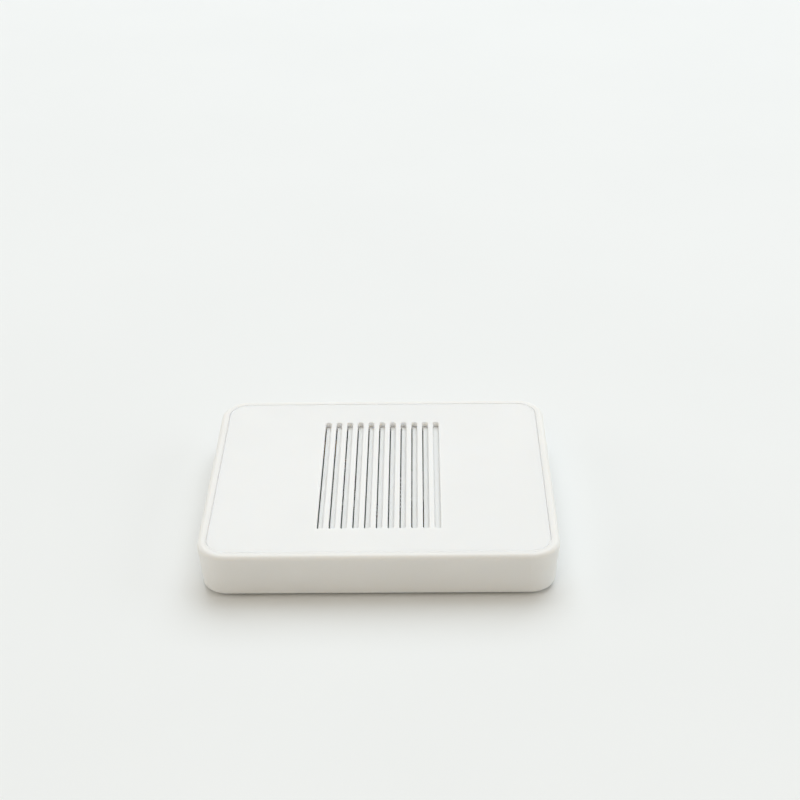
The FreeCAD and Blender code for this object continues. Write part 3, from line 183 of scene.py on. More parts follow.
def joined(skins: list[Skin]) -> Skin:
    """Several skins as one.

    Args:
        skins: The skins to put together.

    Returns:
        One skin with all their points and faces.
    """
    starts = np.cumsum([0] + [len(skin.points) for skin in skins[:-1]])
    return Skin(np.vstack([skin.points for skin in skins]),
                np.vstack([skin.quads + start for skin, start in zip(skins, starts)]),
                np.vstack([skin.triangles + start for skin, start in zip(skins, starts)]))


def capped(rings: np.ndarray, poles: np.ndarray) -> Skin:
    """A closed skin over rings of points, drawn together to a pole at each end.

    Formula: quads join each ring to the next, and fans of triangles join the end rings to the
    poles.

    Args:
        rings: Rings by columns of points, in metres.
        poles: The first and the last pole.

    Returns:
        The skin, with its faces outwards.
    """
    rows, columns = rings.shape[:2]
    around = np.arange(columns)
    after = np.roll(around, -1)
    pole = np.full(columns, rows * columns)
    last = (rows - 1) * columns
    fans = np.vstack([np.stack([pole, after, around], axis=-1),
                      np.stack([pole + 1, last + around, last + after], axis=-1)])
    points = np.vstack([rings.reshape(-1, 3), poles])
    return Skin(points, grid_quads(rows, columns, wrap_columns=True), fans).outward()


def turned(radius: np.ndarray, height: np.ndarray) -> Skin:
    """A closed skin about the Z axis, with a pole at its first and at its last row.

    Formula: with the angle t going once round along a row, x = radius cos t, y = radius sin t and
    z = height.

    Args:
        radius, height: Both of each grid point, rows by columns, in metres.

    Returns:
        The skin, with its faces outwards.
    """
    angle = np.linspace(0.0, TAU, radius.shape[1], endpoint=False)
    rings = np.stack([radius * np.cos(angle), radius * np.sin(angle), height], axis=-1)[1:-1]
    return capped(rings, np.array([[0.0, 0.0, height[0].mean()], [0.0, 0.0, height[-1].mean()]]))


def lathe(profile: list[tuple[float, float]], columns: int = 48) -> Skin:
    """A round closed skin.

    Formula: each pair is a ring of that radius at that height, and the two end pairs are points.

    Args:
        profile: Pairs of radius and height in metres, from one pole to the other.
        columns: Points round each ring.

    Returns:
        The skin, with its faces outwards.
    """
    pairs, ones = np.array(profile), np.ones(columns)
    return turned(pairs[:, :1] * ones, pairs[:, 1:] * ones)


def arc_pairs(centre: tuple[float, float], radius: float, start: float, end: float,
              count: int) -> np.ndarray:
    """Points along an arc of a lathe profile.

    Formula: (centre radius + radius cos t, centre height + radius sin t), with t in equal steps.

    Args:
        centre: Radius and height of the arc's centre.
        radius: The arc's own radius.
        start, end: Its angles in degrees.
        count: Number of points.

    Returns:
        Pairs of radius and height.
    """
    t = np.radians(np.linspace(start, end, count))
    return np.stack([centre[0] + radius * np.cos(t), centre[1] + radius * np.sin(t)], axis=-1)


def swept(path: np.ndarray, section: np.ndarray, up: tuple[float, float, float]) -> Skin:
    """A closed bar whose section follows a path in one plane, mitred at the corners.

    Formula: the tangent is the mean of the steps before and after a point, side = tangent x up over
    the cosine of half the turn, and a section point (a, b) stands at path + a side + b up.

    Args:
        path: Points of the path in metres.
        section: Sideways and upward places of the section's points in metres.
        up: The direction square to the path's plane.

    Returns:
        The skin, with flat ends and its faces outwards.
    """
    normal = np.array(up)
    steps = np.diff(path, axis=0)
    steps /= np.linalg.norm(steps, axis=1, keepdims=True)
    after = np.vstack([steps, steps[-1:]])
    tangent = np.vstack([steps[:1], steps]) + after
    tangent /= np.linalg.norm(tangent, axis=1, keepdims=True)
    stretch = 1.0 / np.einsum("ij,ij->i", tangent, after)
    side = np.cross(tangent, normal) * stretch[:, None]
    rings = path[:, None] + side[:, None] * section[None, :, :1] + normal * section[None, :, 1:]
    return capped(rings, path[[0, -1]])


def bar_section(width: float, thickness: float) -> np.ndarray:
    """The four corners of a flat bar's section, centred, in metres."""
    return SQUARE * np.array([width / 2, thickness / 2])


# Materials

@dataclass(frozen=True)
class Tone:
    """A colour as its linear red, green and blue parts."""

    red: float
    green: float
    blue: float

    @property
    def rgba(self) -> tuple[float, float, float, float]:
        """The colour as a shader socket takes it."""
        return (self.red, self.green, self.blue, 1.0)

    def times(self, factor: float) -> "Tone":
        """The colour made darker or lighter."""
        return Tone(self.red * factor, self.green * factor, self.blue * factor)


Socket = bpy.types.NodeSocket
Value = Socket | Tone | float | tuple | None


class NodeWeb:
    """The nodes of one tree, laid down step by step."""

    def __init__(self, tree: bpy.types.NodeTree) -> None:
        """Takes a tree and empties it."""
        self.tree = tree
        tree.nodes.clear()

    def give(self, target: Socket, value: Value) -> None:
        """Links a socket to a target, or sets a plain value on it.

        Args:
            target: The input to set.
            value: What it gets.
        """
        if isinstance(value, Socket):
            self.tree.links.new(value, target)
        else:
            target.default_value = value.rgba if isinstance(value, Tone) else value

    def fill(self, node: bpy.types.Node, **values: Value | str) -> bpy.types.Node:
        """Sets a node's own settings and gives its inputs their values.

        Args:
            node: The node.
            values: Settings in lower case, and inputs with capitals and underscores for blanks.
                None leaves an input as it is.

        Returns:
            The same node.
        """
        for name, value in values.items():
            if name.islower():
                setattr(node, name, value)
            elif value is not None:
                self.give(node.inputs[name.replace("_", " ")], value)
        return node

    def node(self, kind: str, **values: Value | str) -> bpy.types.Node:
        """A new node of a kind, filled with its values."""
        return self.fill(self.tree.nodes.new("ShaderNode" + kind), **values)

    def calc(self, operation: str, *values: Value) -> Socket:
        """One step of arithmetic.

        Args:
            operation: The Math node's operation.
            values: As many values as the operation takes.

        Returns:
            The result.
        """
        node = self.node("Math", operation=operation)
        for target, value in zip(node.inputs, values):
            self.give(target, value)
        return node.outputs[0]


class Recipe(NodeWeb):
    """The nodes of one material, which all start from the object's own coordinates."""

    def __init__(self, name: str) -> None:
        """Starts a material with its shader, its output and its coordinates.

        Args:
            name: The material's name.
        """
        self.material = bpy.data.materials.new(name)
        self.material.use_nodes = True
        super().__init__(self.material.node_tree)
        self.shader = self.node("BsdfPrincipled")
        self.node("OutputMaterial", Surface=self.shader.outputs["BSDF"])
        self.place = self.node("TexCoord").outputs["Object"]
        self.parts = self.node("SeparateXYZ", Vector=self.place).outputs

    def coat(self, **values: Value) -> None:
        """Gives the shader's inputs their values, with underscores for blanks in the names."""
        self.fill(self.shader, **values)

    def along(self, axis: Axis) -> Socket:
        """The place along one axis, in metres."""
        return self.parts[axis.value]

    def noise(self, per_metre: float, detail: float = 2.0,
              stretch: tuple[float, float, float] | None = None) -> Socket:
        """A smooth random pattern between 0 and 1.

        Args:
            per_metre: How many patches lie along a metre.
            detail: How many finer layers it has.
            stretch: Scale of the coordinates along each axis, or None to leave them.

        Returns:
            The pattern.
        """
        place = self.place
        if stretch:
            place = self.node("Mapping", Vector=place, Scale=stretch).outputs[0]
        return self.node("TexNoise", Vector=place, Scale=per_metre, Detail=detail).outputs[0]

    def cells(self, per_metre: float) -> Socket:
        """A random number between 0 and 1 for each square-edged cell."""
        cells = self.node("TexVoronoi", distance="CHEBYCHEV", Vector=self.place, Scale=per_metre)
        return self.node("SeparateColor", Color=cells.outputs["Color"]).outputs[0]

    def less(self, first: Value, second: Value) -> Socket:
        """The first value less the second."""
        return self.calc("SUBTRACT", first, second)

    def span(self, source: Socket, low: float, high: float, to_low: float = 0.0,
             to_high: float = 1.0) -> Socket:
        """Maps a range of a source onto another range, with a soft start and end.

        Args:
            source: The value to map.
            low, high: The range of the source that counts.
            to_low, to_high: Results at low and at high.

        Returns:
            The mapped value.
        """
        return self.node("MapRange", interpolation_type="SMOOTHSTEP", Value=source, From_Min=low,
                         From_Max=high, To_Min=to_low, To_Max=to_high).outputs[0]

    def blend(self, share: Socket, first: Value, second: Value) -> Socket:
        """Mixes two colours.

        Args:
            share: How much of the second colour shows.
            first, second: The colours.

        Returns:
            The mixed colour.
        """
        node = self.node("Mix", data_type="RGBA")
        for socket, value in ((0, share), (6, first), (7, second)):
            self.give(node.inputs[socket], value)
        return node.outputs[2]

    def away(self, axis: Axis, centre: float) -> Socket:
        """The distance from a plane square to an axis, in metres."""
        return self.calc("ABSOLUTE", self.less(self.along(axis), centre))

    def beyond(self, plan: Plan, inset: float = 0.0) -> tuple[Socket, Socket]:
        """How far a place lies past a plan's inset sides along X and Y, negative inside them."""
        return (self.less(self.away(Axis.X, plan.x), plan.half_x - inset),
                self.less(self.away(Axis.Y, plan.y), plan.half_y - inset))

    def reach(self, x: Socket, y: Socket) -> Socket:
        """The square root of x squared plus y squared."""
        return self.calc("SQRT", self.calc("MULTIPLY_ADD", x, x, self.calc("MULTIPLY", y, y)))

    def spot(self, distance: Socket, radius: float, soft: float) -> Socket:
        """1 where a distance is below a radius and 0 outside it, with a soft edge."""
        return self.span(distance, radius, radius + soft, 1.0, 0.0)

    def repeated(self, place: Socket, pitch: float) -> Socket:
        """The distance from the nearest of many lines at a pitch, in metres."""
        return self.calc("ABSOLUTE", self.calc("WRAP", place, pitch / 2, -pitch / 2))

    def softened(self, radius: float) -> Socket:
        """A normal that rounds sharp edges by a small radius."""
        return self.node("Bevel", samples=4, Radius=radius).outputs[0]

    def relief(self, height: Socket, depth: float, under: Socket | None = None) -> Socket:
        """A normal that raises the surface by a pattern, over another normal or the plain one."""
        return self.node("Bump", Strength=1.0, Distance=depth, Height=height,
                         Normal=under).outputs[0]


@dataclass(frozen=True)
class Finish:
    """A finish that makes its own material."""

    name: str
    slot: str

    def material(self) -> bpy.types.Material:
        """Makes the material once, and then gives the same one again.

        Returns:
            The material.
        """
        made = bpy.data.materials.get(self.name)
        if made is not None:
            return made
        recipe = Recipe(self.name)
        self.lay(recipe)
        return recipe.material

    def lay(self, recipe: Recipe) -> None:
        """Lays the finish's nodes."""
        raise NotImplementedError


@dataclass(frozen=True)
class PaintedLightPatch:
    """Painted light on a moulding: a part painted paler than the rest to lift the shade that falls
    there.
    """

    tone: Tone

    def share(self, recipe: Recipe) -> Socket:
        """1 where the light is painted and 0 outside it."""
        raise NotImplementedError


@dataclass(frozen=True)
class SunkPaintedLight(PaintedLightPatch):
    """Painted light on all that lies below a level, such as the walls of slots: they are painted
    paler to lift their shade.
    """

    level: float
    soft: float = 0.05 * MM

    def share(self, recipe: Recipe) -> Socket:
        """1 below the level and 0 above it."""
        return recipe.spot(recipe.along(Axis.Z), self.level - self.soft, self.soft)


@dataclass(frozen=True)
class SeamPaintedLight(PaintedLightPatch):
    """Painted light in the fine groove between the cover and the rim of the case, seen from above:
    the groove is painted nearly white to lift its shade.
    """

    plan: Plan
    corner: float
    bottom: float
    inside: float = 0.2 * MM
    outside: float = 0.06 * MM
    soft: float = 0.02 * MM

    def share(self, recipe: Recipe) -> Socket:
        """1 in the groove and 0 beside it and below it.

        Formula: the distance from a rounded rectangle is the length of what x and y have beyond
        its straight sides, less the corner's radius.

        Args:
            recipe: The material's nodes.

        Returns:
            The share of painted light at each place.
        """
        over = [recipe.calc("MAXIMUM", side, 0.0) for side in recipe.beyond(self.plan, self.corner)]
        distance = recipe.less(recipe.reach(*over), self.corner)
        after = recipe.span(distance, -self.inside - self.soft, -self.inside)
        before = recipe.spot(distance, self.outside, self.soft)
        above = recipe.span(recipe.along(Axis.Z), self.bottom - self.soft, self.bottom)
        return recipe.calc("MULTIPLY", recipe.calc("MULTIPLY", after, before), above)


# Painted light: the seam groove is painted nearly white to lift the shade in it.
COVER_SEAM_PAINTED_LIGHT = SeamPaintedLight(Tone(0.99, 0.99, 0.985), Plan(half_x=44.21 * MM, half_y=37.06 * MM),
                  corner=5.56 * MM, bottom=11.6 * MM)
# Painted light: the slot walls below the cover's top are painted paler to lift their shade.
SLOT_WALLS_PAINTED_LIGHT = SunkPaintedLight(Tone(0.96, 0.965, 0.975), level=13.0 * MM)


@dataclass(frozen=True)
class MouldedPlastic(Finish):
    """Injection-moulded plastic with a fine eroded texture, slow tone drift, softened edges and
    painted light in shaded places.
    """

    tone: Tone
    drift: Tone
    roughness: float = 0.42
    grain_per_metre: float = 5200.0
    grain_depth: float = 0.006 * MM
    wave_depth: float = 0.05 * MM
    edge_radius: float = 0.12 * MM
    glow: float = 0.0
    glow_reach: float = 1.5 * MM
    glow_tint: tuple[float, float, float] = (1.0, 0.94, 0.86)
    painted_light_patches: tuple[PaintedLightPatch, ...] = ()
    drift_per_metre: float = 38.0
    waves_per_metre: float = 70.0
    gloss_spread: float = 0.05
    reflection: float = 0.45

    def lay(self, recipe: Recipe) -> None:
        """Lays tone drift, painted light in shaded grooves and slot walls, grain, and slow waves
        from cooling.

        Args:
            recipe: The material's nodes.
        """
        shade = recipe.span(recipe.noise(self.drift_per_metre), 0.3, 0.7)
        colour = recipe.blend(shade, self.tone, self.drift)
        # painted light: paler colour blended over grooves and slot walls to lift their shade
        for painted_light in self.painted_light_patches:
            colour = recipe.blend(painted_light.share(recipe), colour, painted_light.tone)
        grain = recipe.noise(self.grain_per_metre, 3.0)
        waves = recipe.relief(recipe.noise(self.waves_per_metre, 1.0), self.wave_depth,
                              recipe.softened(self.edge_radius))
        rough = recipe.span(grain, 0.25, 0.75, self.roughness - self.gloss_spread,
                            self.roughness + self.gloss_spread)
        recipe.coat(Base_Color=colour, Roughness=rough,
                    Normal=recipe.relief(grain, self.grain_depth, waves),
                    Specular_IOR_Level=self.reflection, Subsurface_Weight=self.glow,
                    Subsurface_Scale=self.glow_reach, Subsurface_Radius=self.glow_tint)


@dataclass(frozen=True)
class Rubber(Finish):
    """Dull rubber with pores and a little dust."""

    tone: Tone = Tone(0.12, 0.12, 0.12)
    pores_per_metre: float = 3800.0
    pore_depth: float = 0.02 * MM
    dust_per_metre: float = 420.0

    def lay(self, recipe: Recipe) -> None:
        """Lays pores and dust.

        Args:
            recipe: The material's nodes.
        """
        pores = recipe.noise(self.pores_per_metre, 4.0)
        dust = recipe.span(recipe.noise(self.dust_per_metre, 5.0), 0.5, 0.8)
        recipe.coat(Base_Color=recipe.blend(dust, self.tone, self.tone.times(1.6)),
                    Roughness=recipe.span(pores, 0.2, 0.8, 0.68, 0.88),
                    Normal=recipe.relief(pores, self.pore_depth))


class Plating(Enum):
    """Metal coats, as linear colour and roughness."""

    ZINC = (0.62, 0.63, 0.65, 0.34)
    TIN = (0.72, 0.72, 0.71, 0.30)
    WIRE = (0.75, 0.75, 0.74, 0.26)
    NICKEL = (0.70, 0.70, 0.68, 0.24)
    GOLD = (0.83, 0.66, 0.30, 0.22)
    DULL_TIN = (0.52, 0.52, 0.51, 0.52)
    LACQUERED_COPPER = (0.16, 0.12, 0.07, 0.45)

    @property
    def tone(self) -> Tone:
        """The coat's colour."""
        return Tone(*self.value[:3])

    @property
    def roughness(self) -> float:
        """The coat's roughness."""
        return self.value[3]


@dataclass(frozen=True)
class PlatedMetal(Finish):
    """Plated sheet or wire with rolling marks along X and a cloudy coat."""

    plating: Plating = Plating.TIN
    rolling: tuple[float, float, float] = (600.0, 9000.0, 9000.0)
    mark_depth: float = 0.003 * MM
    clouds_per_metre: float = 900.0

    def lay(self, recipe: Recipe) -> None:
        """Lays clouds in the colour and fine marks in the gloss and the relief.

        Args:
            recipe: The material's nodes.
        """
        clouds = recipe.span(recipe.noise(self.clouds_per_metre, 3.0), 0.3, 0.75)
        marks = recipe.noise(1.0, 3.0, self.rolling)
        tone, rough = self.plating.tone, self.plating.roughness
        recipe.coat(Base_Color=recipe.blend(clouds, tone, tone.times(0.86)),
                    Roughness=recipe.span(marks, 0.25, 0.75, rough - 0.07, rough + 0.1),
                    Normal=recipe.relief(marks, self.mark_depth), Metallic=1.0)


@dataclass(frozen=True)
class StampedCan(Finish):
    """A drawn metal lid: plated, with a pressed line inside its edge."""

    plating: Plating
    plan: Plan
    line_inset: float = 0.9 * MM
    line_start: float = 0.05 * MM
    line_end: float = 0.2 * MM
    line_depth: float = 0.08 * MM
    edge_radius: float = 0.1 * MM
    clouds_per_metre: float = 650.0

    def lay(self, recipe: Recipe) -> None:
        """Lays the plating and the pressed line.

        Formula: the line is where the larger of |x| - half width and |y| - half depth lies one
        inset inside the edge.

        Args:
            recipe: The material's nodes.
        """
        clouds = recipe.span(recipe.noise(self.clouds_per_metre, 4.0), 0.3, 0.75)
        tone, rough = self.plating.tone, self.plating.roughness
        inside = recipe.calc("MAXIMUM", *recipe.beyond(self.plan))
        off_line = recipe.calc("ABSOLUTE", recipe.calc("ADD", inside, self.line_inset))
        line = recipe.span(off_line, self.line_start, self.line_end)
        recipe.coat(Base_Color=recipe.blend(clouds, tone, tone.times(0.84)),
                    Roughness=recipe.span(clouds, 0.0, 1.0, rough - 0.04, rough + 0.12),
                    Metallic=1.0, Normal=recipe.relief(line, self.line_depth,
                                                       recipe.softened(self.edge_radius)))


@dataclass(frozen=True)
class SolderMask(Finish):
    """A lacquered circuit board with copper tracks under the lacquer and tinned screw pads."""

    tone: Tone
    plan: Plan
    hole_inset: float = 3.2 * MM
    pad_radius: float = 2.1 * MM
    track_pitch: float = 1.1 * MM
    track_half: float = 0.14 * MM
    track_soft: float = 0.06 * MM
    track_height: float = 0.03 * MM
    pad_soft: float = 0.05 * MM
    cells_per_metre: float = 170.0
    clouds_per_metre: float = 160.0
    gloss_per_metre: float = 1400.0
    laminate: Tone = Tone(0.42, 0.36, 0.16)

    def lay(self, recipe: Recipe) -> None:
        """Lays tracks in random cells, screw pads and the bare laminate at the edge.

        Formula: a track is where the place across it, wrapped at the pitch, is near the middle of
        the pitch, and each cell picks tracks along X or Y. The pads fold the board about its
        middle, so one spot makes all four.

        Args:
            recipe: The material's nodes.
        """
        chosen = recipe.calc("GREATER_THAN", recipe.cells(self.cells_per_metre), 0.5)
        tracks = [recipe.spot(recipe.repeated(recipe.along(axis), self.track_pitch),
                              self.track_half, self.track_soft) for axis in (Axis.X, Axis.Y)]
        track = recipe.calc("ADD", recipe.calc("MULTIPLY", tracks[0], chosen),
                            recipe.calc("MULTIPLY", tracks[1], recipe.less(1.0, chosen)))
        lacquer = recipe.blend(track, self.tone, self.tone.times(1.75))
        clouds = recipe.span(recipe.noise(self.clouds_per_metre), 0.3, 0.8)
        cloudy = recipe.blend(clouds, lacquer, self.tone.times(1.2))
        hole_distance = recipe.reach(*recipe.beyond(self.plan, self.hole_inset))
        pad = recipe.spot(hole_distance, self.pad_radius, self.pad_soft)
        padded = recipe.blend(pad, cloudy, Plating.TIN.tone)
        past_side = recipe.calc("MAXIMUM", *recipe.beyond(self.plan))
        bare = recipe.span(past_side, -0.04 * MM, -0.01 * MM)
        gloss = recipe.noise(self.gloss_per_metre)
        recipe.coat(Base_Color=recipe.blend(bare, padded, self.laminate), Metallic=pad,
                    Roughness=recipe.span(gloss, 0.2, 0.8, 0.28, 0.42),
                    Normal=recipe.relief(track, self.track_height))


@dataclass(frozen=True)
class MouldedChip(Finish):
    """A black epoxy chip with a pin-one dimple, and tinned leads past its sides."""

    plan: Plan
    tone: Tone = Tone(0.03, 0.03, 0.03)
    dimple_inset: float = 0.8 * MM
    dimple_radius: float = 0.3 * MM
    dimple_soft: float = 0.08 * MM
    dimple_depth: float = 0.08 * MM
    edge_radius: float = 0.06 * MM
    specks_per_metre: float = 5200.0

    def lay(self, recipe: Recipe) -> None:
        """Lays speckled epoxy, the dimple and the tinned metal.

        Formula: metal is where |x| or |y| from the body's middle passes the body's half size.

        Args:
            recipe: The material's nodes.
        """
        plan, inset = self.plan, self.dimple_inset
        metal = recipe.span(recipe.calc("MAXIMUM", *recipe.beyond(plan)), 0.01 * MM, 0.03 * MM)
        across = recipe.less(recipe.along(Axis.X), plan.x - plan.half_x + inset)
        along = recipe.less(recipe.along(Axis.Y), plan.y + plan.half_y - inset)
        dimple = recipe.spot(recipe.reach(across, along), self.dimple_radius, self.dimple_soft)
        speckle = recipe.noise(self.specks_per_metre, 4.0)
        epoxy = recipe.blend(recipe.span(speckle, 0.35, 0.8), self.tone, self.tone.times(1.9))
        dull = recipe.span(speckle, 0.3, 0.7, 0.5, 0.68)
        sunk = recipe.calc("MULTIPLY_ADD", dimple, -1.0, recipe.calc("MULTIPLY", speckle, 0.12))
        recipe.coat(Base_Color=recipe.blend(metal, epoxy, Plating.WIRE.tone), Metallic=metal,
                    Roughness=recipe.calc("MULTIPLY_ADD", dimple, -0.25, dull),
                    Normal=recipe.relief(sunk, self.dimple_depth,
                                         recipe.softened(self.edge_radius)))


@dataclass(frozen=True)
class EndCapped(Finish):
    """A small ceramic part with tinned ends, repeated at a pitch along one axis."""

    tone: Tone
    axis: Axis
    first: float
    pitch: float
    bare_half: float = 0.5 * MM
    soft: float = 0.02 * MM
    cap_rise: float = 0.02 * MM
    edge_radius: float = 0.08 * MM
    flecks_per_metre: float = 2600.0

    def lay(self, recipe: Recipe) -> None:
        """Lays the tinned ends and the ceramic between them.

        Formula: the place along the axis, less the first part's centre, is wrapped at the pitch,
        and the ends are where it is further than the bare half length from a centre.

        Args:
            recipe: The material's nodes.
        """
        local = recipe.repeated(recipe.less(recipe.along(self.axis), self.first), self.pitch)
        ends = recipe.span(local, self.bare_half - self.soft, self.bare_half + self.soft)
        fleck = recipe.span(recipe.noise(self.flecks_per_metre, 3.0), 0.3, 0.75)
        ceramic = recipe.blend(fleck, self.tone, self.tone.times(0.8))
        recipe.coat(Base_Color=recipe.blend(ends, ceramic, Plating.TIN.tone), Metallic=ends,
                    Roughness=recipe.span(fleck, 0.0, 1.0, 0.32, 0.5),
                    Normal=recipe.relief(recipe.calc("MAXIMUM", ends, fleck), self.cap_rise,
                                         recipe.softened(self.edge_radius)))


@dataclass(frozen=True)
class BandedBlock(Finish):
    """A moulded capacitor with a dark polarity band across one end."""

    band_start: float
    band_end: float
    soft: float = 0.05 * MM
    tone: Tone = Tone(0.95, 0.50, 0.10)
    band_tone: Tone = Tone(0.16, 0.06, 0.02)
    mottle_per_metre: float = 1500.0
    mottle_depth: float = 0.012 * MM
    edge_radius: float = 0.12 * MM

    def lay(self, recipe: Recipe) -> None:
        """Lays the moulded colour and the printed band between two places along Y.

        Args:
            recipe: The material's nodes.
        """
        y = recipe.along(Axis.Y)
        band = recipe.calc("MULTIPLY", recipe.span(y, self.band_start, self.band_start + self.soft),
                           recipe.spot(y, self.band_end, self.soft))
        mottle = recipe.span(recipe.noise(self.mottle_per_metre, 4.0), 0.3, 0.75)
        body = recipe.blend(mottle, self.tone, self.tone.times(0.82))
        recipe.coat(Base_Color=recipe.blend(band, body, self.band_tone),
                    Roughness=recipe.span(mottle, 0.0, 1.0, 0.38, 0.55),
                    Normal=recipe.relief(mottle, self.mottle_depth,
                                         recipe.softened(self.edge_radius)))


@dataclass(frozen=True)
class GlazedCeramic(Finish):
    """Pale fired ceramic with faint pits under a glaze."""

    tone: Tone = Tone(0.75, 0.78, 0.80)
    pits_per_metre: float = 2200.0
    pit_depth: float = 0.01 * MM
    edge_radius: float = 0.08 * MM

    def lay(self, recipe: Recipe) -> None:
        """Lays the pits and the glaze.

        Args:
            recipe: The material's nodes.
        """
        pits = recipe.noise(self.pits_per_metre, 4.0)
        shade = recipe.span(pits, 0.35, 0.8)
        recipe.coat(Base_Color=recipe.blend(shade, self.tone, self.tone.times(0.88)),
                    Roughness=recipe.span(pits, 0.3, 0.7, 0.16, 0.3),
                    Coat_Weight=0.4, Coat_Roughness=0.08,
                    Normal=recipe.relief(pits, self.pit_depth,
                                         recipe.softened(self.edge_radius)))


@dataclass(frozen=True)
class ClearEpoxy(Finish):
    """The clear tinted epoxy of an indicator's lens, with faint flow lines."""

    tone: Tone
    clearness: float = 0.92
    refraction: float = 1.52
    flow_per_metre: float = 700.0
    flow_stretch: tuple[float, float, float] = (1.0, 0.35, 1.0)
    flow_depth: float = 0.01 * MM

    def lay(self, recipe: Recipe) -> None:
        """Lays flow lines in the tint, the gloss and the relief.

        Args:
            recipe: The material's nodes.
        """
        flow = recipe.noise(self.flow_per_metre, stretch=self.flow_stretch)
        tint = recipe.blend(recipe.span(flow, 0.3, 0.7), self.tone, self.tone.times(0.9))
        recipe.coat(Base_Color=tint, Roughness=recipe.span(flow, 0.2, 0.8, 0.03, 0.09),
                    Normal=recipe.relief(flow, self.flow_depth),
                    Transmission_Weight=self.clearness, IOR=self.refraction)


@dataclass(frozen=True)
class PrintedInk(Finish):
    """White ink of the board's component outlines, slightly worn."""

    tone: Tone = Tone(0.78, 0.79, 0.77)
    worn_tone: Tone = Tone(0.6, 0.64, 0.6)
    spots_per_metre: float = 3000.0

    def lay(self, recipe: Recipe) -> None:
        """Lays ink that thins a little in spots.

        Args:
            recipe: The material's nodes.
        """
        worn = recipe.span(recipe.noise(self.spots_per_metre, 4.0), 0.35, 0.8)
        recipe.coat(Base_Color=recipe.blend(worn, self.tone, self.worn_tone),
                    Roughness=recipe.span(worn, 0.0, 1.0, 0.5, 0.65))


@dataclass(frozen=True)
class PaleTable(Finish):
    """The pale matt surface that the object stands on."""

    tone: Tone = Tone(0.838, 0.857, 0.862)
    mottle_per_metre: float = 9.0
    tooth_per_metre: float = 2400.0
    tooth_depth: float = 0.006 * MM
    reflection: float = 0.25

    def lay(self, recipe: Recipe) -> None:
        """Lays a faint mottle and a fine tooth.

        Args:
            recipe: The material's nodes.
        """
        mottle = recipe.span(recipe.noise(self.mottle_per_metre, 3.0), 0.3, 0.7)
        tooth = recipe.noise(self.tooth_per_metre, 3.0)
        recipe.coat(Base_Color=recipe.blend(mottle, self.tone, self.tone.times(0.988)),
                    Roughness=recipe.span(tooth, 0.2, 0.8, 0.62, 0.72),
                    Normal=recipe.relief(tooth, self.tooth_depth),
                    Specular_IOR_Level=self.reflection)


# Making pieces and dressing nodes

def dress(node: str, finish: Finish) -> None:
    """Gives every material slot of a frame node its finish.

    Args:
        node: The node's name.
        finish: What it gets.
    """
    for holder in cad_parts[node].material_slots:
        holder.material = finish.material()
    log.info("dressed %s in %s", node, finish.name)


def dress_chip(node: str, plan: Plan | None = None) -> None:
    """Dresses a chip, whose epoxy fills its box unless the plan of its body is given."""
    name = node.replace("_", " ") + " epoxy"
    dress(node, MouldedChip(name, "chip_black", plan or Extent.of(node).plan))


def make_piece(name: str, skin: Skin, finish: Finish, body: Body = Body.HOUSING,
               stands_for: tuple[str, ...] = (), crease: float = 40.0) -> None:
    """Turns a skin into an object that rides on a body.

    Args:
        name: The object's name.
        skin: Its surface, already in place.
        finish: Its finish.
        body: The body that it rides on.
        stands_for: Frame nodes that it replaces.
        crease: Angle in degrees above which an edge stays sharp.
    """
    mesh = bpy.data.meshes.new(name)
    loops = np.concatenate([skin.quads.ravel(), skin.triangles.ravel()]).astype(np.int32)
    sides = np.repeat([4, 3], [len(skin.quads), len(skin.triangles)])
    starts = np.concatenate([[0], np.cumsum(sides)[:-1]]).astype(np.int32)
    mesh.vertices.add(len(skin.points))
    mesh.vertices.foreach_set("co", skin.points.astype(np.float32).ravel())
    mesh.loops.add(len(loops))
    mesh.loops.foreach_set("vertex_index", loops)
    mesh.polygons.add(len(sides))
    mesh.polygons.foreach_set("loop_start", starts)
    mesh.polygons.foreach_set("use_smooth", np.ones(len(sides), bool))
    mesh.update(calc_edges=True)
    mesh.validate()
    mesh.set_sharp_from_angle(angle=math.radians(crease))
    mesh.materials.append(finish.material())
    piece = bpy.data.objects.new(name, mesh)
    bpy.context.scene.collection.objects.link(piece)
    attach(piece, body.value)
    if stands_for:
        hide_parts(*stands_for)
    log.info("made %s with %d faces", name, len(sides))


# Sub-assemblies

@dataclass
class Casing:
    """The moulded case, its slotted cover and the baffle below the slots."""

    # Both plastics carry painted light: the seam groove, and on the cover the slot walls, are
    # painted paler to lift their shade.
    case_plastic: MouldedPlastic = MouldedPlastic(
        "satin white case plastic", "case_plastic", Tone(0.815, 0.81, 0.79),
        Tone(0.80, 0.795, 0.775), glow=0.7, painted_light_patches=(COVER_SEAM_PAINTED_LIGHT,))
    cover_plastic: MouldedPlastic = MouldedPlastic(
        "satin white cover plastic", "cover_plastic", Tone(0.808, 0.814, 0.81),
        Tone(0.793, 0.799, 0.795), glow=0.7, painted_light_patches=(SLOT_WALLS_PAINTED_LIGHT, COVER_SEAM_PAINTED_LIGHT))
    baffle_plastic: MouldedPlastic = MouldedPlastic(
        "plain baffle plastic", "baffle_plastic", Tone(0.845, 0.85, 0.835),
        Tone(0.83, 0.84, 0.82), 0.5, glow=0.7)

    def build(self) -> None:
        """Dresses the three moulded pieces."""
        dress("lower_case", self.case_plastic)
        dress("top_cover", self.cover_plastic)
        dress("vent_baffle", self.baffle_plastic)


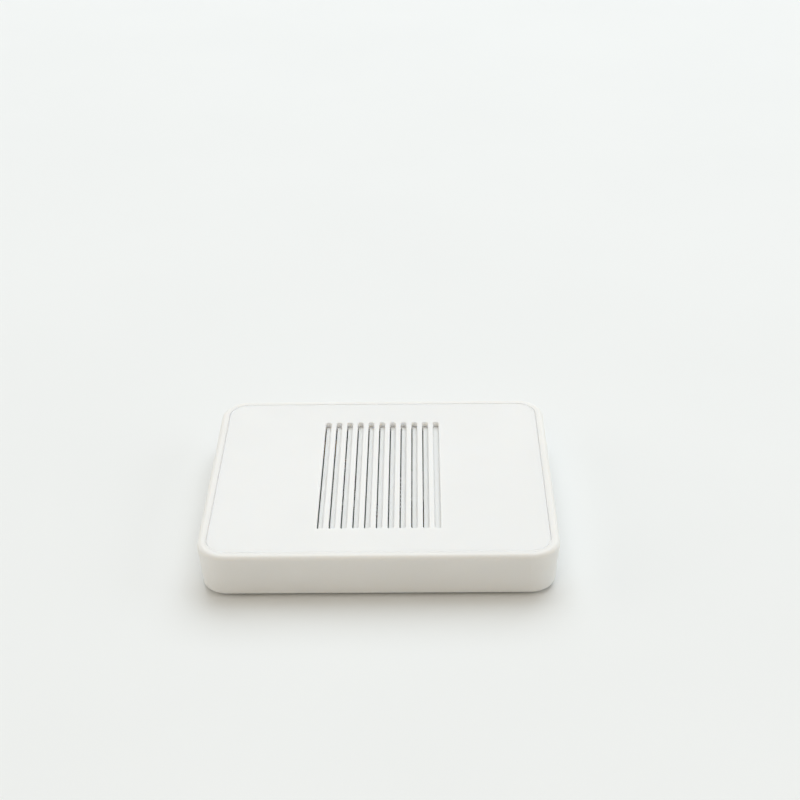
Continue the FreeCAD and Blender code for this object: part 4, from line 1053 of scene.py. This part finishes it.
@dataclass
class Feet:
    """Four rubber feet with rounded edges."""

    radius: float = 4.0 * MM
    edge: float = 0.12 * MM
    dish: float = 0.05 * MM
    dish_share: float = 0.62
    knee: tuple[float, float] = (0.6, 0.8)
    rubber: Rubber = Rubber("dark foot rubber", "foot_rubber")

    def build(self) -> None:
        """Makes the four feet where the frame has them.

        Formula: a lathe profile from a shallow dish in the sole over a quarter-round edge, up the
        side and back to the axis.
        """
        seat = Extent.of("rubber_feet")
        height, dished = seat.high[2], self.radius * self.dish_share
        knee_radius, knee_height = dished * self.knee[0], self.dish * self.knee[1]
        profile = [(0.0, self.dish), (knee_radius, knee_height), (dished, 0.0),
                   *arc_pairs((self.radius - self.edge, self.edge), self.edge, -90.0, 0.0, 5),
                   (self.radius, height), (0.0, height)]
        feet = lathe(profile, 64).moved(seat.corners(self.radius, 0.0))
        make_piece("soft_feet", feet, self.rubber, stands_for=("rubber_feet",))


@dataclass
class CrossHeadScrews:
    """Four equal screws with rounded heads, cross recesses and rolled threads."""

    node: str
    head_radius: float
    head_height: float
    shank_radius: float
    heads_down: bool
    rim_share: float = 0.35
    rim_rise_share: float = 1.2
    crown_share: float = 0.4
    tip_radius_share: float = 0.5
    tip_length_share: float = 0.3
    pitch: float = 0.8 * MM
    steps_per_turn: int = 6
    thread_depth: float = 0.18 * MM
    recess_depth: float = 0.75 * MM
    recess_span: float = 1.05 * MM
    recess_width: float = 0.3 * MM
    recess_slope: float = 0.18 * MM
    columns: int = 48
    steel: PlatedMetal = PlatedMetal("zinc plated screw steel", "zinc_steel", Plating.ZINC)

    def recess(self, radius: np.ndarray, angle: np.ndarray) -> np.ndarray:
        """How deep the cross recess is at places of the head.

        Formula: an arm along x counts clip((width - |y|) / slope + 1) times
        clip((span - |x|) / slope), the other arm swaps x and y, and the depth is the larger of the
        two times the full depth.

        Args:
            radius: Distance from the axis, rows by one.
            angle: Angle of each column.

        Returns:
            The depth at each grid point in metres.
        """
        x, y = np.abs(radius * np.cos(angle)), np.abs(radius * np.sin(angle))
        slope = self.recess_slope
        arms = [np.clip((self.recess_width - across) / slope + 1.0, 0, 1)
                * np.clip((self.recess_span - along) / slope, 0, 1)
                for along, across in ((x, y), (y, x))]
        return self.recess_depth * np.maximum(*arms)

    def skin(self, length: float) -> Skin:
        """One screw along +Z with the crown of its head at height 0.

        Formula: the crown is a flat parabola less the recess, its rim a quarter ellipse, and the
        shank's radius is the core plus the thread depth times a triangle wave of
        height / pitch - angle / turn, which fades at the tip.

        Args:
            length: Full length of the screw in metres.

        Returns:
            The screw's skin.
        """
        angle = np.linspace(0.0, TAU, self.columns, endpoint=False)[None, :]
        rim = self.rim_share * self.head_height
        crown = np.linspace(0.0, self.head_radius - rim, 16)[:, None]
        rise = rim * self.crown_share * (crown / self.head_radius) ** 2
        bend = np.radians(np.linspace(0.0, 90.0, 6))[1:, None]
        edge = self.head_radius - rim + rim * np.sin(bend)
        edge_height = rise[-1] + (rim * self.rim_rise_share) * (1 - np.cos(bend))
        under = np.array([[self.head_radius], [self.shank_radius]])
        core = self.shank_radius - self.thread_depth
        tip = length - core
        steps = np.arange(self.head_height, tip, self.pitch / self.steps_per_turn)[1:, None]
        wave = np.abs(2.0 * np.mod(steps / self.pitch - angle / TAU, 1.0) - 1.0)
        thread = core + self.thread_depth * wave * np.clip((tip - steps) / self.pitch, 0.0, 1.0)
        below = np.full((2, 1), self.head_height)
        radii = (crown, edge, under, thread, core * self.tip_radius_share, 0.0)
        heights = (rise + self.recess(crown, angle), edge_height, below, steps,
                   length - core * self.tip_length_share, length)
        ones = np.ones((1, self.columns))
        return turned(*(np.vstack([part * ones for part in parts])
                        for parts in (radii, heights)))

    def build(self) -> None:
        """Makes the four screws where the frame has them."""
        seat = Extent.of(self.node)
        skin = self.skin(seat.size[2])
        if not self.heads_down:
            skin = skin.upside_down()
        level = seat.low[2] if self.heads_down else seat.high[2]
        make_piece(self.node + "_turned", skin.moved(seat.corners(self.head_radius, level)),
                   self.steel, stands_for=(self.node,))


@dataclass
class CircuitBoard:
    """The main board with its chips, its printed outlines and its solder."""

    outline_width: float = 0.15 * MM
    outline_height: float = 0.02 * MM
    outline_gap: float = 0.35 * MM
    outlined: tuple[str, ...] = (
        "microcontroller", "voltage_regulator", "radio_chip", "chip_antenna", "mcu_crystal",
        "radio_crystal", "input_fuse", "input_diode", "wifi_module_board")
    lacquer_tone: Tone = Tone(0.10, 0.22, 0.14)
    controller_half: float = 3.5 * MM
    regulator_half: tuple[float, float] = (3.25 * MM, 1.75 * MM)
    regulator_leads: float = 1.5 * MM
    crystal_line: float = 0.45 * MM
    fuse_bare_half: float = 1.6 * MM
    no_repeat: float = 20.0 * MM
    band: tuple[float, float] = (0.9 * MM, 0.35 * MM)
    small_half: float = 0.8 * MM
    capacitor_pitch: float = 3.2 * MM
    resistor_pitch: float = 2.6 * MM
    lead_wire: float = 0.5 * MM
    lead_pitch: float = 2.54 * MM
    notches: int = 8
    notch_pitch: float = 2.0 * MM
    notch_start: float = 1.6 * MM
    tab_back: float = 2.6 * MM
    tab_inset: float = 0.35 * MM
    lead_solder: tuple[float, float, float] = (0.9 * MM, 0.3 * MM, 0.8 * MM)
    notch_solder: tuple[float, float, float] = (0.8 * MM, 0.4 * MM, 0.85 * MM)
    tab_solder: tuple[float, float, float] = (1.0 * MM, 0.25 * MM, 0.42 * MM)
    tab_narrowing: float = 0.75
    ink: PrintedInk = PrintedInk("white board ink", "board_green")
    solder: PlatedMetal = PlatedMetal("bright solder", "contact_tin", Plating.WIRE)

    def dress_chips(self) -> None:
        """Dresses the board, and the chips and the crystals that stand on it."""
        dress("main_board", SolderMask("green board lacquer", "board_green", self.lacquer_tone,
                                       Extent.of("main_board").plan))
        half_x, half_y = self.regulator_half
        regulator = Extent.of("voltage_regulator")
        dress_chip("microcontroller", replace(Extent.of("microcontroller").plan,
                                              half_x=self.controller_half,
                                              half_y=self.controller_half))
        dress_chip("voltage_regulator", Plan(
            regulator.plan.x, regulator.low[1] + self.regulator_leads + half_y, half_x, half_y))
        dress_chip("radio_chip")
        dress_chip("input_diode")
        for node in ("mcu_crystal", "radio_crystal"):
            dress(node, StampedCan(node.replace("_", " ") + " can", "crystal_can", Plating.NICKEL,
                                   Extent.of(node).plan, self.crystal_line))

    def dress_small_parts(self) -> None:
        """Dresses the antenna, the fuse, the capacitors and the resistors."""
        bulk = Extent.of("tantalum_capacitors").high[1]
        dress("chip_antenna", GlazedCeramic("glazed antenna ceramic", "antenna_ceramic"))
        dress("input_fuse", EndCapped(
            "green fuse body", "fuse_green", Tone(0.06, 0.25, 0.12), Axis.X,
            Extent.of("input_fuse").middle[0], self.no_repeat, self.fuse_bare_half))
        dress("tantalum_capacitors", BandedBlock(
            "amber capacitor moulding", "tantalum_amber", bulk - self.band[0], bulk - self.band[1]))
        dress("chip_capacitors", EndCapped(
            "tan capacitor ceramic", "capacitor_tan", Tone(0.55, 0.42, 0.28), Axis.Y,
            Extent.of("chip_capacitors").low[1] + self.small_half, self.capacitor_pitch))
        dress("chip_resistors", EndCapped(
            "black resistor film", "resistor_black", Tone(0.04, 0.04, 0.05), Axis.X,
            Extent.of("chip_resistors").low[0] + self.small_half, self.resistor_pitch))

    def frame_skin(self, node: str, level: float) -> Skin:
        """A printed rectangle round one part.

        Formula: each of four corners has an outer and an inner point at the board and at the ink's
        top, so the grid wraps both ways.

        Args:
            node: The part's name.
            level: Height of the board in metres.

        Returns:
            The frame's skin.
        """
        extent = Extent.of(node)
        half = extent.size[:2] / 2 + self.outline_gap
        outer = extent.middle[:2] + SQUARE * (half + self.outline_width)
        inner = extent.middle[:2] + SQUARE * half
        top = level + self.outline_height
        rings = [np.column_stack([edge, np.full(4, z)]) for edge, z in
                 ((outer, level), (outer, top), (inner, top), (inner, level))]
        return Skin(np.stack(rings, axis=1).reshape(-1, 3), grid_quads(4, 4, True, True),
                    np.empty((0, 3), int)).outward()

    def print_outlines(self) -> None:
        """Prints the rectangles round the larger parts."""
        level = Extent.of("main_board").high[2]
        frames = [self.frame_skin(node, level) for node in self.outlined]
        make_piece("board_outlines", joined(frames), self.ink, crease=30.0)

    def bell(self, pad: float, neck: float, rise: float) -> Skin:
        """A solder fillet about an upright lead, standing on height 0.

        Formula: radius = neck + (pad - neck) (1 - height / rise) squared, a hollow cone.

        Args:
            pad, neck: Radius at the board and at the top in metres.
            rise: Height in metres.

        Returns:
            The fillet's skin.
        """
        curve = [(neck + (pad - neck) * (1 - t) ** 2, rise * t) for t in np.linspace(0.0, 1.0, 9)]
        return lathe([(0.0, 0.0), *curve, (0.0, rise)], 20)

    def solder_joints(self) -> None:
        """Makes the solder at the indicators' leads, the module's notches and the inlet's tabs."""
        board, leads, module, shell = (Extent.of(node) for node in (
            "main_board", "led_leads", "wifi_module_board", "inlet_shell"))
        half, pitch = self.lead_wire / 2, self.lead_pitch
        near, far = leads.low[0] + half, leads.high[0] - half
        rows = module.high[1] - self.notch_start - self.notch_pitch * np.arange(self.notches)
        at_leads = [[x, leads.low[1] + half, board.low[2]]
                    for x in (near, near + pitch, far - pitch, far)]
        at_notches = [[x, y, module.low[2]] for x in (module.low[0], module.high[0]) for y in rows]
        at_tabs = [[x, shell.high[1] - self.tab_back, board.high[2]]
                   for x in (shell.low[0] + self.tab_inset, shell.high[0] - self.tab_inset)]
        make_piece("solder_joints", joined([
            self.bell(*self.lead_solder).upside_down().moved(at_leads),
            self.bell(*self.notch_solder).moved(at_notches),
            self.bell(*self.tab_solder).scaled(self.tab_narrowing, 1.0, 1.0).moved(at_tabs),
        ]), self.solder)

    def build(self) -> None:
        """Dresses the board and its parts and adds the print and the solder."""
        self.dress_chips()
        self.dress_small_parts()
        self.print_outlines()
        self.solder_joints()


@dataclass
class RadioModule:
    """The radio module: its board, its shield can, its chips and its antenna track."""

    lacquer_tone: Tone = Tone(0.02, 0.03, 0.05)
    no_pads: tuple[float, float] = (30.0 * MM, 0.1 * MM)
    board_track_pitch: float = 0.7 * MM
    track_width: float = 0.55 * MM
    track_thickness: float = 0.04 * MM
    margin: float = 1.1 * MM
    fingers: int = 6
    copper: PlatedMetal = PlatedMetal("copper under black lacquer", "contact_brass",
                                      Plating.LACQUERED_COPPER)

    def dress_nodes(self) -> None:
        """Dresses the module's own nodes."""
        dress("wifi_module_board", SolderMask(
            "black module lacquer", "module_board_black", self.lacquer_tone,
            Extent.of("wifi_module_board").plan, *self.no_pads, self.board_track_pitch))
        dress("wifi_module_shield", StampedCan(
            "tinned shield can", "tinned_steel", Plating.DULL_TIN,
            Extent.of("wifi_module_shield").plan))
        dress_chip("wifi_chip")
        dress_chip("flash_chip")

    def antenna(self) -> None:
        """Makes the folded antenna track on the bare end of the module.

        Formula: the track goes up and down between two lines and steps sideways at each end, so
        every x comes twice and y runs low, high, high, low.
        """
        board, can = Extent.of("wifi_module_board"), Extent.of("wifi_module_shield")
        low, high = board.low[1] + self.margin, can.low[1] - self.margin
        x = np.repeat(np.linspace(board.low[0] + self.margin, board.high[0] - self.margin,
                                  2 * self.fingers), 2)
        y = np.resize([low, high, high, low], len(x))
        z = np.full(len(x), board.high[2] + self.track_thickness / 2)
        track = swept(np.column_stack([x, y, z]),
                      bar_section(self.track_width, self.track_thickness), (0.0, 0.0, 1.0))
        make_piece("antenna_track", track, self.copper, crease=30.0)

    def build(self) -> None:
        """Dresses the module and adds its antenna."""
        self.dress_nodes()
        self.antenna()


@dataclass
class PowerInlet:
    """The power inlet: its shell, its tongue with contacts, and the shell's two springs."""

    spring_width: float = 0.7 * MM
    spring_thickness: float = 0.12 * MM
    spring_length: float = 3.0 * MM
    spring_bow: float = 0.32 * MM
    spring_offset: float = 2.6 * MM
    spring_back: float = 0.7 * MM
    roof_depth: float = 0.25 * MM
    wall: float = 0.3 * MM
    steel: PlatedMetal = PlatedMetal("tinned inlet steel", "tinned_steel", Plating.TIN)
    tongue: MouldedPlastic = MouldedPlastic(
        "black tongue plastic", "connector_black", Tone(0.03, 0.03, 0.03),
        Tone(0.045, 0.045, 0.045), 0.38)
    brass: PlatedMetal = PlatedMetal("gold flashed contacts", "contact_brass", Plating.GOLD)

    def springs(self) -> None:
        """Makes the two bowed strips that hold the plug, under the shell's roof.

        Formula: along the strip's length s from 0 to 1 the strip hangs sin(pi s) times the bow
        below the roof.
        """
        shell = Extent.of("inlet_shell")
        roof = shell.high[2] - self.roof_depth - self.wall - self.spring_thickness / 2
        share = np.linspace(0.0, 1.0, 13)
        path = np.column_stack([np.zeros_like(share),
                                shell.high[1] - self.spring_back - self.spring_length * share,
                                roof - self.spring_bow * np.sin(math.pi * share)])
        strip = swept(path, bar_section(self.spring_thickness, self.spring_width), (1.0, 0.0, 0.0))
        sides = [[shell.middle[0] + side * self.spring_offset, 0.0, 0.0] for side in (-1, 1)]
        make_piece("inlet_springs", strip.moved(sides), self.steel)

    def build(self) -> None:
        """Dresses the inlet and adds its springs."""
        dress("inlet_shell", self.steel)
        dress("inlet_tongue", self.tongue)
        dress("inlet_contacts", self.brass)
        self.springs()


@dataclass
class Indicators:
    """The two lamps: clear lenses over their lead frames, cups and bond wires."""

    cup_radius: float = 0.62 * MM
    cup_depth: float = 0.42 * MM
    cup_level: float = 2.6 * MM
    chip_radius: float = 0.14 * MM
    blade_width: float = 0.4 * MM
    blade: float = 0.5 * MM
    blade_start: float = 0.15 * MM
    post_offset: float = 0.95 * MM
    wire_radius: float = 0.035 * MM
    wire_rise: float = 0.45 * MM
    green: ClearEpoxy = ClearEpoxy("clear green epoxy", "lamp_lens_green", Tone(0.3, 0.75, 0.4))
    blue: ClearEpoxy = ClearEpoxy("clear blue epoxy", "lamp_lens_blue", Tone(0.3, 0.5, 0.85))
    lead_metal: PlatedMetal = PlatedMetal("tinned lead wire", "contact_tin", Plating.WIRE)
    frame_metal: PlatedMetal = PlatedMetal("tinned lamp frame", "contact_tin", Plating.WIRE)

    def cup(self) -> Skin:
        """The reflector cup with its chip, along +Z from height 0.

        Formula: a lathe profile up the outside of a cone, over its rim, down the inside to the
        floor, and up over the small chip at the axis.

        Returns:
            The cup's skin.
        """
        r, d, chip = self.cup_radius, self.cup_depth, self.chip_radius
        return lathe([(0.0, 0.0), (r * 0.7, 0.0), (r * 0.8, d), (r * 0.72, d), (r * 0.42, d * 0.35),
                      (chip, d * 0.35), (chip, d * 0.7), (0.0, d * 0.7)], 28)

    def wire(self) -> Skin:
        """The bond wire from the chip to the post.

        Formula: a half sine arch over the distance from the axis to the post.

        Returns:
            The wire's skin.
        """
        share = np.linspace(0.0, 1.0, 15)
        level = self.cup_level + self.cup_depth * 0.7
        path = np.column_stack([self.post_offset * share, np.zeros_like(share),
                                level + self.wire_rise * np.sin(math.pi * share)])
        circle = arc_pairs((0.0, 0.0), self.wire_radius, 0.0, 360.0, 9)[:-1]
        return swept(path, circle, (0.0, 1.0, 0.0))

    def frame_skin(self) -> Skin:
        """One lamp's inner metal along +Z, from the back of its lens.

        Returns:
            The metal's skin.
        """
        section = bar_section(self.blade_width, self.blade)
        blades = [swept(np.array([[x, 0.0, self.blade_start], [x, 0.0, top / 2], [x, 0.0, top]]),
                        section, (0.0, 1.0, 0.0))
                  for x, top in ((0.0, self.cup_level),
                                 (self.post_offset, self.cup_level + self.cup_depth))]
        return joined([*blades, self.cup().moved([[0.0, 0.0, self.cup_level]]), self.wire()])

    def build(self) -> None:
        """Dresses the lenses and the leads and adds the inner metal."""
        dress("power_led", self.green)
        dress("link_led", self.blue)
        dress("led_leads", self.lead_metal)
        lamps = [Extent.of("power_led"), Extent.of("link_led")]
        places = [[lamp.middle[0], lamp.low[1], lamp.middle[2]] for lamp in lamps]
        make_piece("lamp_frames", self.frame_skin().lying().moved(places), self.frame_metal)


@dataclass
class ResetKey:
    """The reset switch and the button that presses it."""

    collar_radius: float = 1.85 * MM
    collar_length: float = 0.5 * MM
    head_radius: float = 1.5 * MM
    tip_radius: float = 0.4 * MM
    dish: float = 0.12 * MM
    switch_plastic: MouldedPlastic = MouldedPlastic(
        "black switch plastic", "switch_black", Tone(0.04, 0.04, 0.04), Tone(0.05, 0.05, 0.05), 0.5)
    plate_steel: PlatedMetal = PlatedMetal("switch plate steel", "tinned_steel", Plating.TIN)
    button_plastic: MouldedPlastic = MouldedPlastic(
        "grey button plastic", "button_grey", Tone(0.55, 0.56, 0.56), Tone(0.52, 0.53, 0.53), 0.38)

    def cap(self, length: float) -> Skin:
        """The button along +Z from its collar's back to its dished tip.

        Formula: a lathe profile round the collar, along the head, over a quarter-round edge and
        into a shallow dish whose depth falls with the square of the radius.

        Args:
            length: Full length of the button in metres.

        Returns:
            The button's skin.
        """
        flat = self.head_radius - self.tip_radius
        dished = [(flat * t, length - self.dish * (1 - t * t)) for t in np.linspace(0.95, 0.0, 7)]
        return lathe([
            (0.0, 0.0), (self.collar_radius, 0.0), (self.collar_radius, self.collar_length),
            (self.head_radius, self.collar_length),
            *arc_pairs((flat, length - self.tip_radius), self.tip_radius, 0.0, 90.0, 8), *dished])

    def build(self) -> None:
        """Dresses the switch and makes the button."""
        dress("reset_switch_case", self.switch_plastic)
        dress("reset_plunger", self.switch_plastic)
        dress("reset_switch_plate", self.plate_steel)
        button = Extent.of("reset_button")
        cap = self.cap(button.size[1]).lying()
        make_piece("button_cap", cap.moved([[button.middle[0], button.low[1], button.middle[2]]]),
                   self.button_plastic, Body.RESET_KEY, ("reset_button",))


# Studio

@dataclass(frozen=True)
class PhotoView:
    """The camera, at the place and angle from which the object was photographed."""

    place: tuple[float, float, float] = (0.01102, -0.3688, 0.2494)
    pitch: float = 30.06
    yaw: float = -0.84
    roll: float = -0.85
    focal_pixels: float = 1603.0
    frame_pixels: float = 800.0
    sensor_width: float = 36.0
    nearest: float = 0.01
    farthest: float = 50.0

    def axes(self) -> Matrix:
        """The camera's own axes.

        Formula: forward = (sin yaw cos pitch, cos yaw cos pitch, -sin pitch), right is level and
        square to it, up = right x forward, and right and up then turn by the roll.

        Returns:
            A matrix whose columns are right, up and backwards.
        """
        pitch, yaw, roll = (math.radians(a) for a in (self.pitch, self.yaw, self.roll))
        forward = Vector((math.sin(yaw) * math.cos(pitch), math.cos(yaw) * math.cos(pitch),
                          -math.sin(pitch)))
        right = Vector((math.cos(yaw), -math.sin(yaw), 0.0))
        up = right.cross(forward)
        rolled_right = right * math.cos(roll) + up * math.sin(roll)
        rolled_up = up * math.cos(roll) - right * math.sin(roll)
        return Matrix((rolled_right, rolled_up, -forward)).transposed()

    def build(self) -> None:
        """Makes the camera and puts it into the scene."""
        data = bpy.data.cameras.new("photo_view")
        data.sensor_fit = "HORIZONTAL"
        data.sensor_width = self.sensor_width
        data.lens = self.focal_pixels * self.sensor_width / self.frame_pixels
        data.clip_start, data.clip_end = self.nearest, self.farthest
        camera = bpy.data.objects.new("photo_view", data)
        camera.matrix_world = Matrix.Translation(self.place) @ self.axes().to_4x4()
        bpy.context.scene.collection.objects.link(camera)
        bpy.context.scene.camera = camera


@dataclass(frozen=True)
class Softbox:
    """A large soft lamp that looks at the object."""

    name: str
    place: tuple[float, float, float]
    width: float
    depth: float
    watts: float
    tone: Tone

    def build(self) -> None:
        """Makes the lamp and aims it at the origin."""
        data = bpy.data.lights.new(self.name, "AREA")
        data.shape = "RECTANGLE"
        data.size = self.width
        data.size_y = self.depth
        data.energy = self.watts
        data.color = self.tone.rgba[:3]
        lamp = bpy.data.objects.new(self.name, data)
        lamp.location = self.place
        lamp.rotation_euler = (-Vector(self.place)).to_track_quat("-Z", "Y").to_euler()
        bpy.context.scene.collection.objects.link(lamp)


@dataclass
class Studio:
    """The camera, the soft lamps, the sky and the pale table."""

    view: PhotoView = PhotoView()
    lamps: tuple[Softbox, ...] = (
        Softbox("main softbox", (0.45, 2.45, 3.9), 4.8, 4.8, 168.0, Tone(0.885, 0.945, 1.0)),
        Softbox("front fill", (-0.45, -3.0, 3.3), 4.8, 2.4, 27.0, Tone(1.0, 0.76, 0.48)),
        Softbox("left fill", (-2.8, 0.2, 1.1), 2.4, 1.6, 12.6, Tone(1.0, 0.99, 0.95)),
        Softbox("right fill", (2.8, 0.2, 1.1), 2.4, 1.6, 15.6, Tone(0.93, 0.99, 1.0)),
    )
    sky_strength: float = 0.40
    sky_tone: Tone = Tone(1.0, 0.96, 0.88)
    shown_tone: Tone = Tone(0.90, 0.92, 0.91)
    table_half: float = 3.0
    table_points: int = 9
    table: PaleTable = PaleTable("pale matt table", "table")

    def light_sky(self) -> None:
        """Lights the scene from all round and shows a pale backdrop.

        The camera and mirror-like rays see the backdrop's tone, and all other rays the weaker sky.
        """
        world = bpy.data.worlds.new("pale sky")
        world.use_nodes = True
        web = NodeWeb(world.node_tree)
        rays = web.node("LightPath").outputs
        seen = rays["Is Camera Ray"]
        for name in ("Is Glossy Ray", "Is Transmission Ray"):
            seen = web.calc("MAXIMUM", seen, rays[name])
        lit = web.node("Background", Color=self.sky_tone, Strength=self.sky_strength)
        shown = web.node("Background", Color=self.shown_tone, Strength=1.0)
        mixer = web.node("MixShader")
        for target, source in zip(mixer.inputs, (seen, lit.outputs[0], shown.outputs[0])):
            web.give(target, source)
        web.node("OutputWorld", Surface=mixer.outputs[0])
        bpy.context.scene.world = world

    def lay_table(self) -> None:
        """Makes the table as a flat grid.

        Formula: x and y run over the table's half width in equal steps, and z is 0.
        """
        steps = np.linspace(-self.table_half, self.table_half, self.table_points)
        x, y = np.meshgrid(steps, steps)
        points = np.stack([x, y, np.zeros_like(x)], axis=-1).reshape(-1, 3)
        mesh = bpy.data.meshes.new("table_top")
        quads = grid_quads(self.table_points, self.table_points)
        mesh.from_pydata(points.tolist(), [], quads.tolist())
        mesh.materials.append(self.table.material())
        table = bpy.data.objects.new("table_top", mesh)
        bpy.context.scene.collection.objects.link(table)

    def build(self) -> None:
        """Sets up the whole studio."""
        bpy.context.scene.view_settings.view_transform = "Standard"
        self.view.build()
        self.light_sky()
        for lamp in self.lamps:
            lamp.build()
        self.lay_table()


def main() -> None:
    """Builds the controller and its studio in order."""
    logging.basicConfig(level=logging.INFO, format="%(name)s: %(message)s")
    Studio().build()
    assemblies = (
        Casing(),
        Feet(),
        CrossHeadScrews("case_screws", 2.2 * MM, 1.5 * MM, 1.15 * MM, heads_down=True),
        CrossHeadScrews("board_screws", 1.8 * MM, 1.2 * MM, 0.9 * MM, heads_down=False,
                        recess_span=0.95 * MM),
        CircuitBoard(),
        RadioModule(),
        PowerInlet(),
        Indicators(),
        ResetKey(),
    )
    for assembly in assemblies:
        assembly.build()


if __name__ == "__main__":
    main()
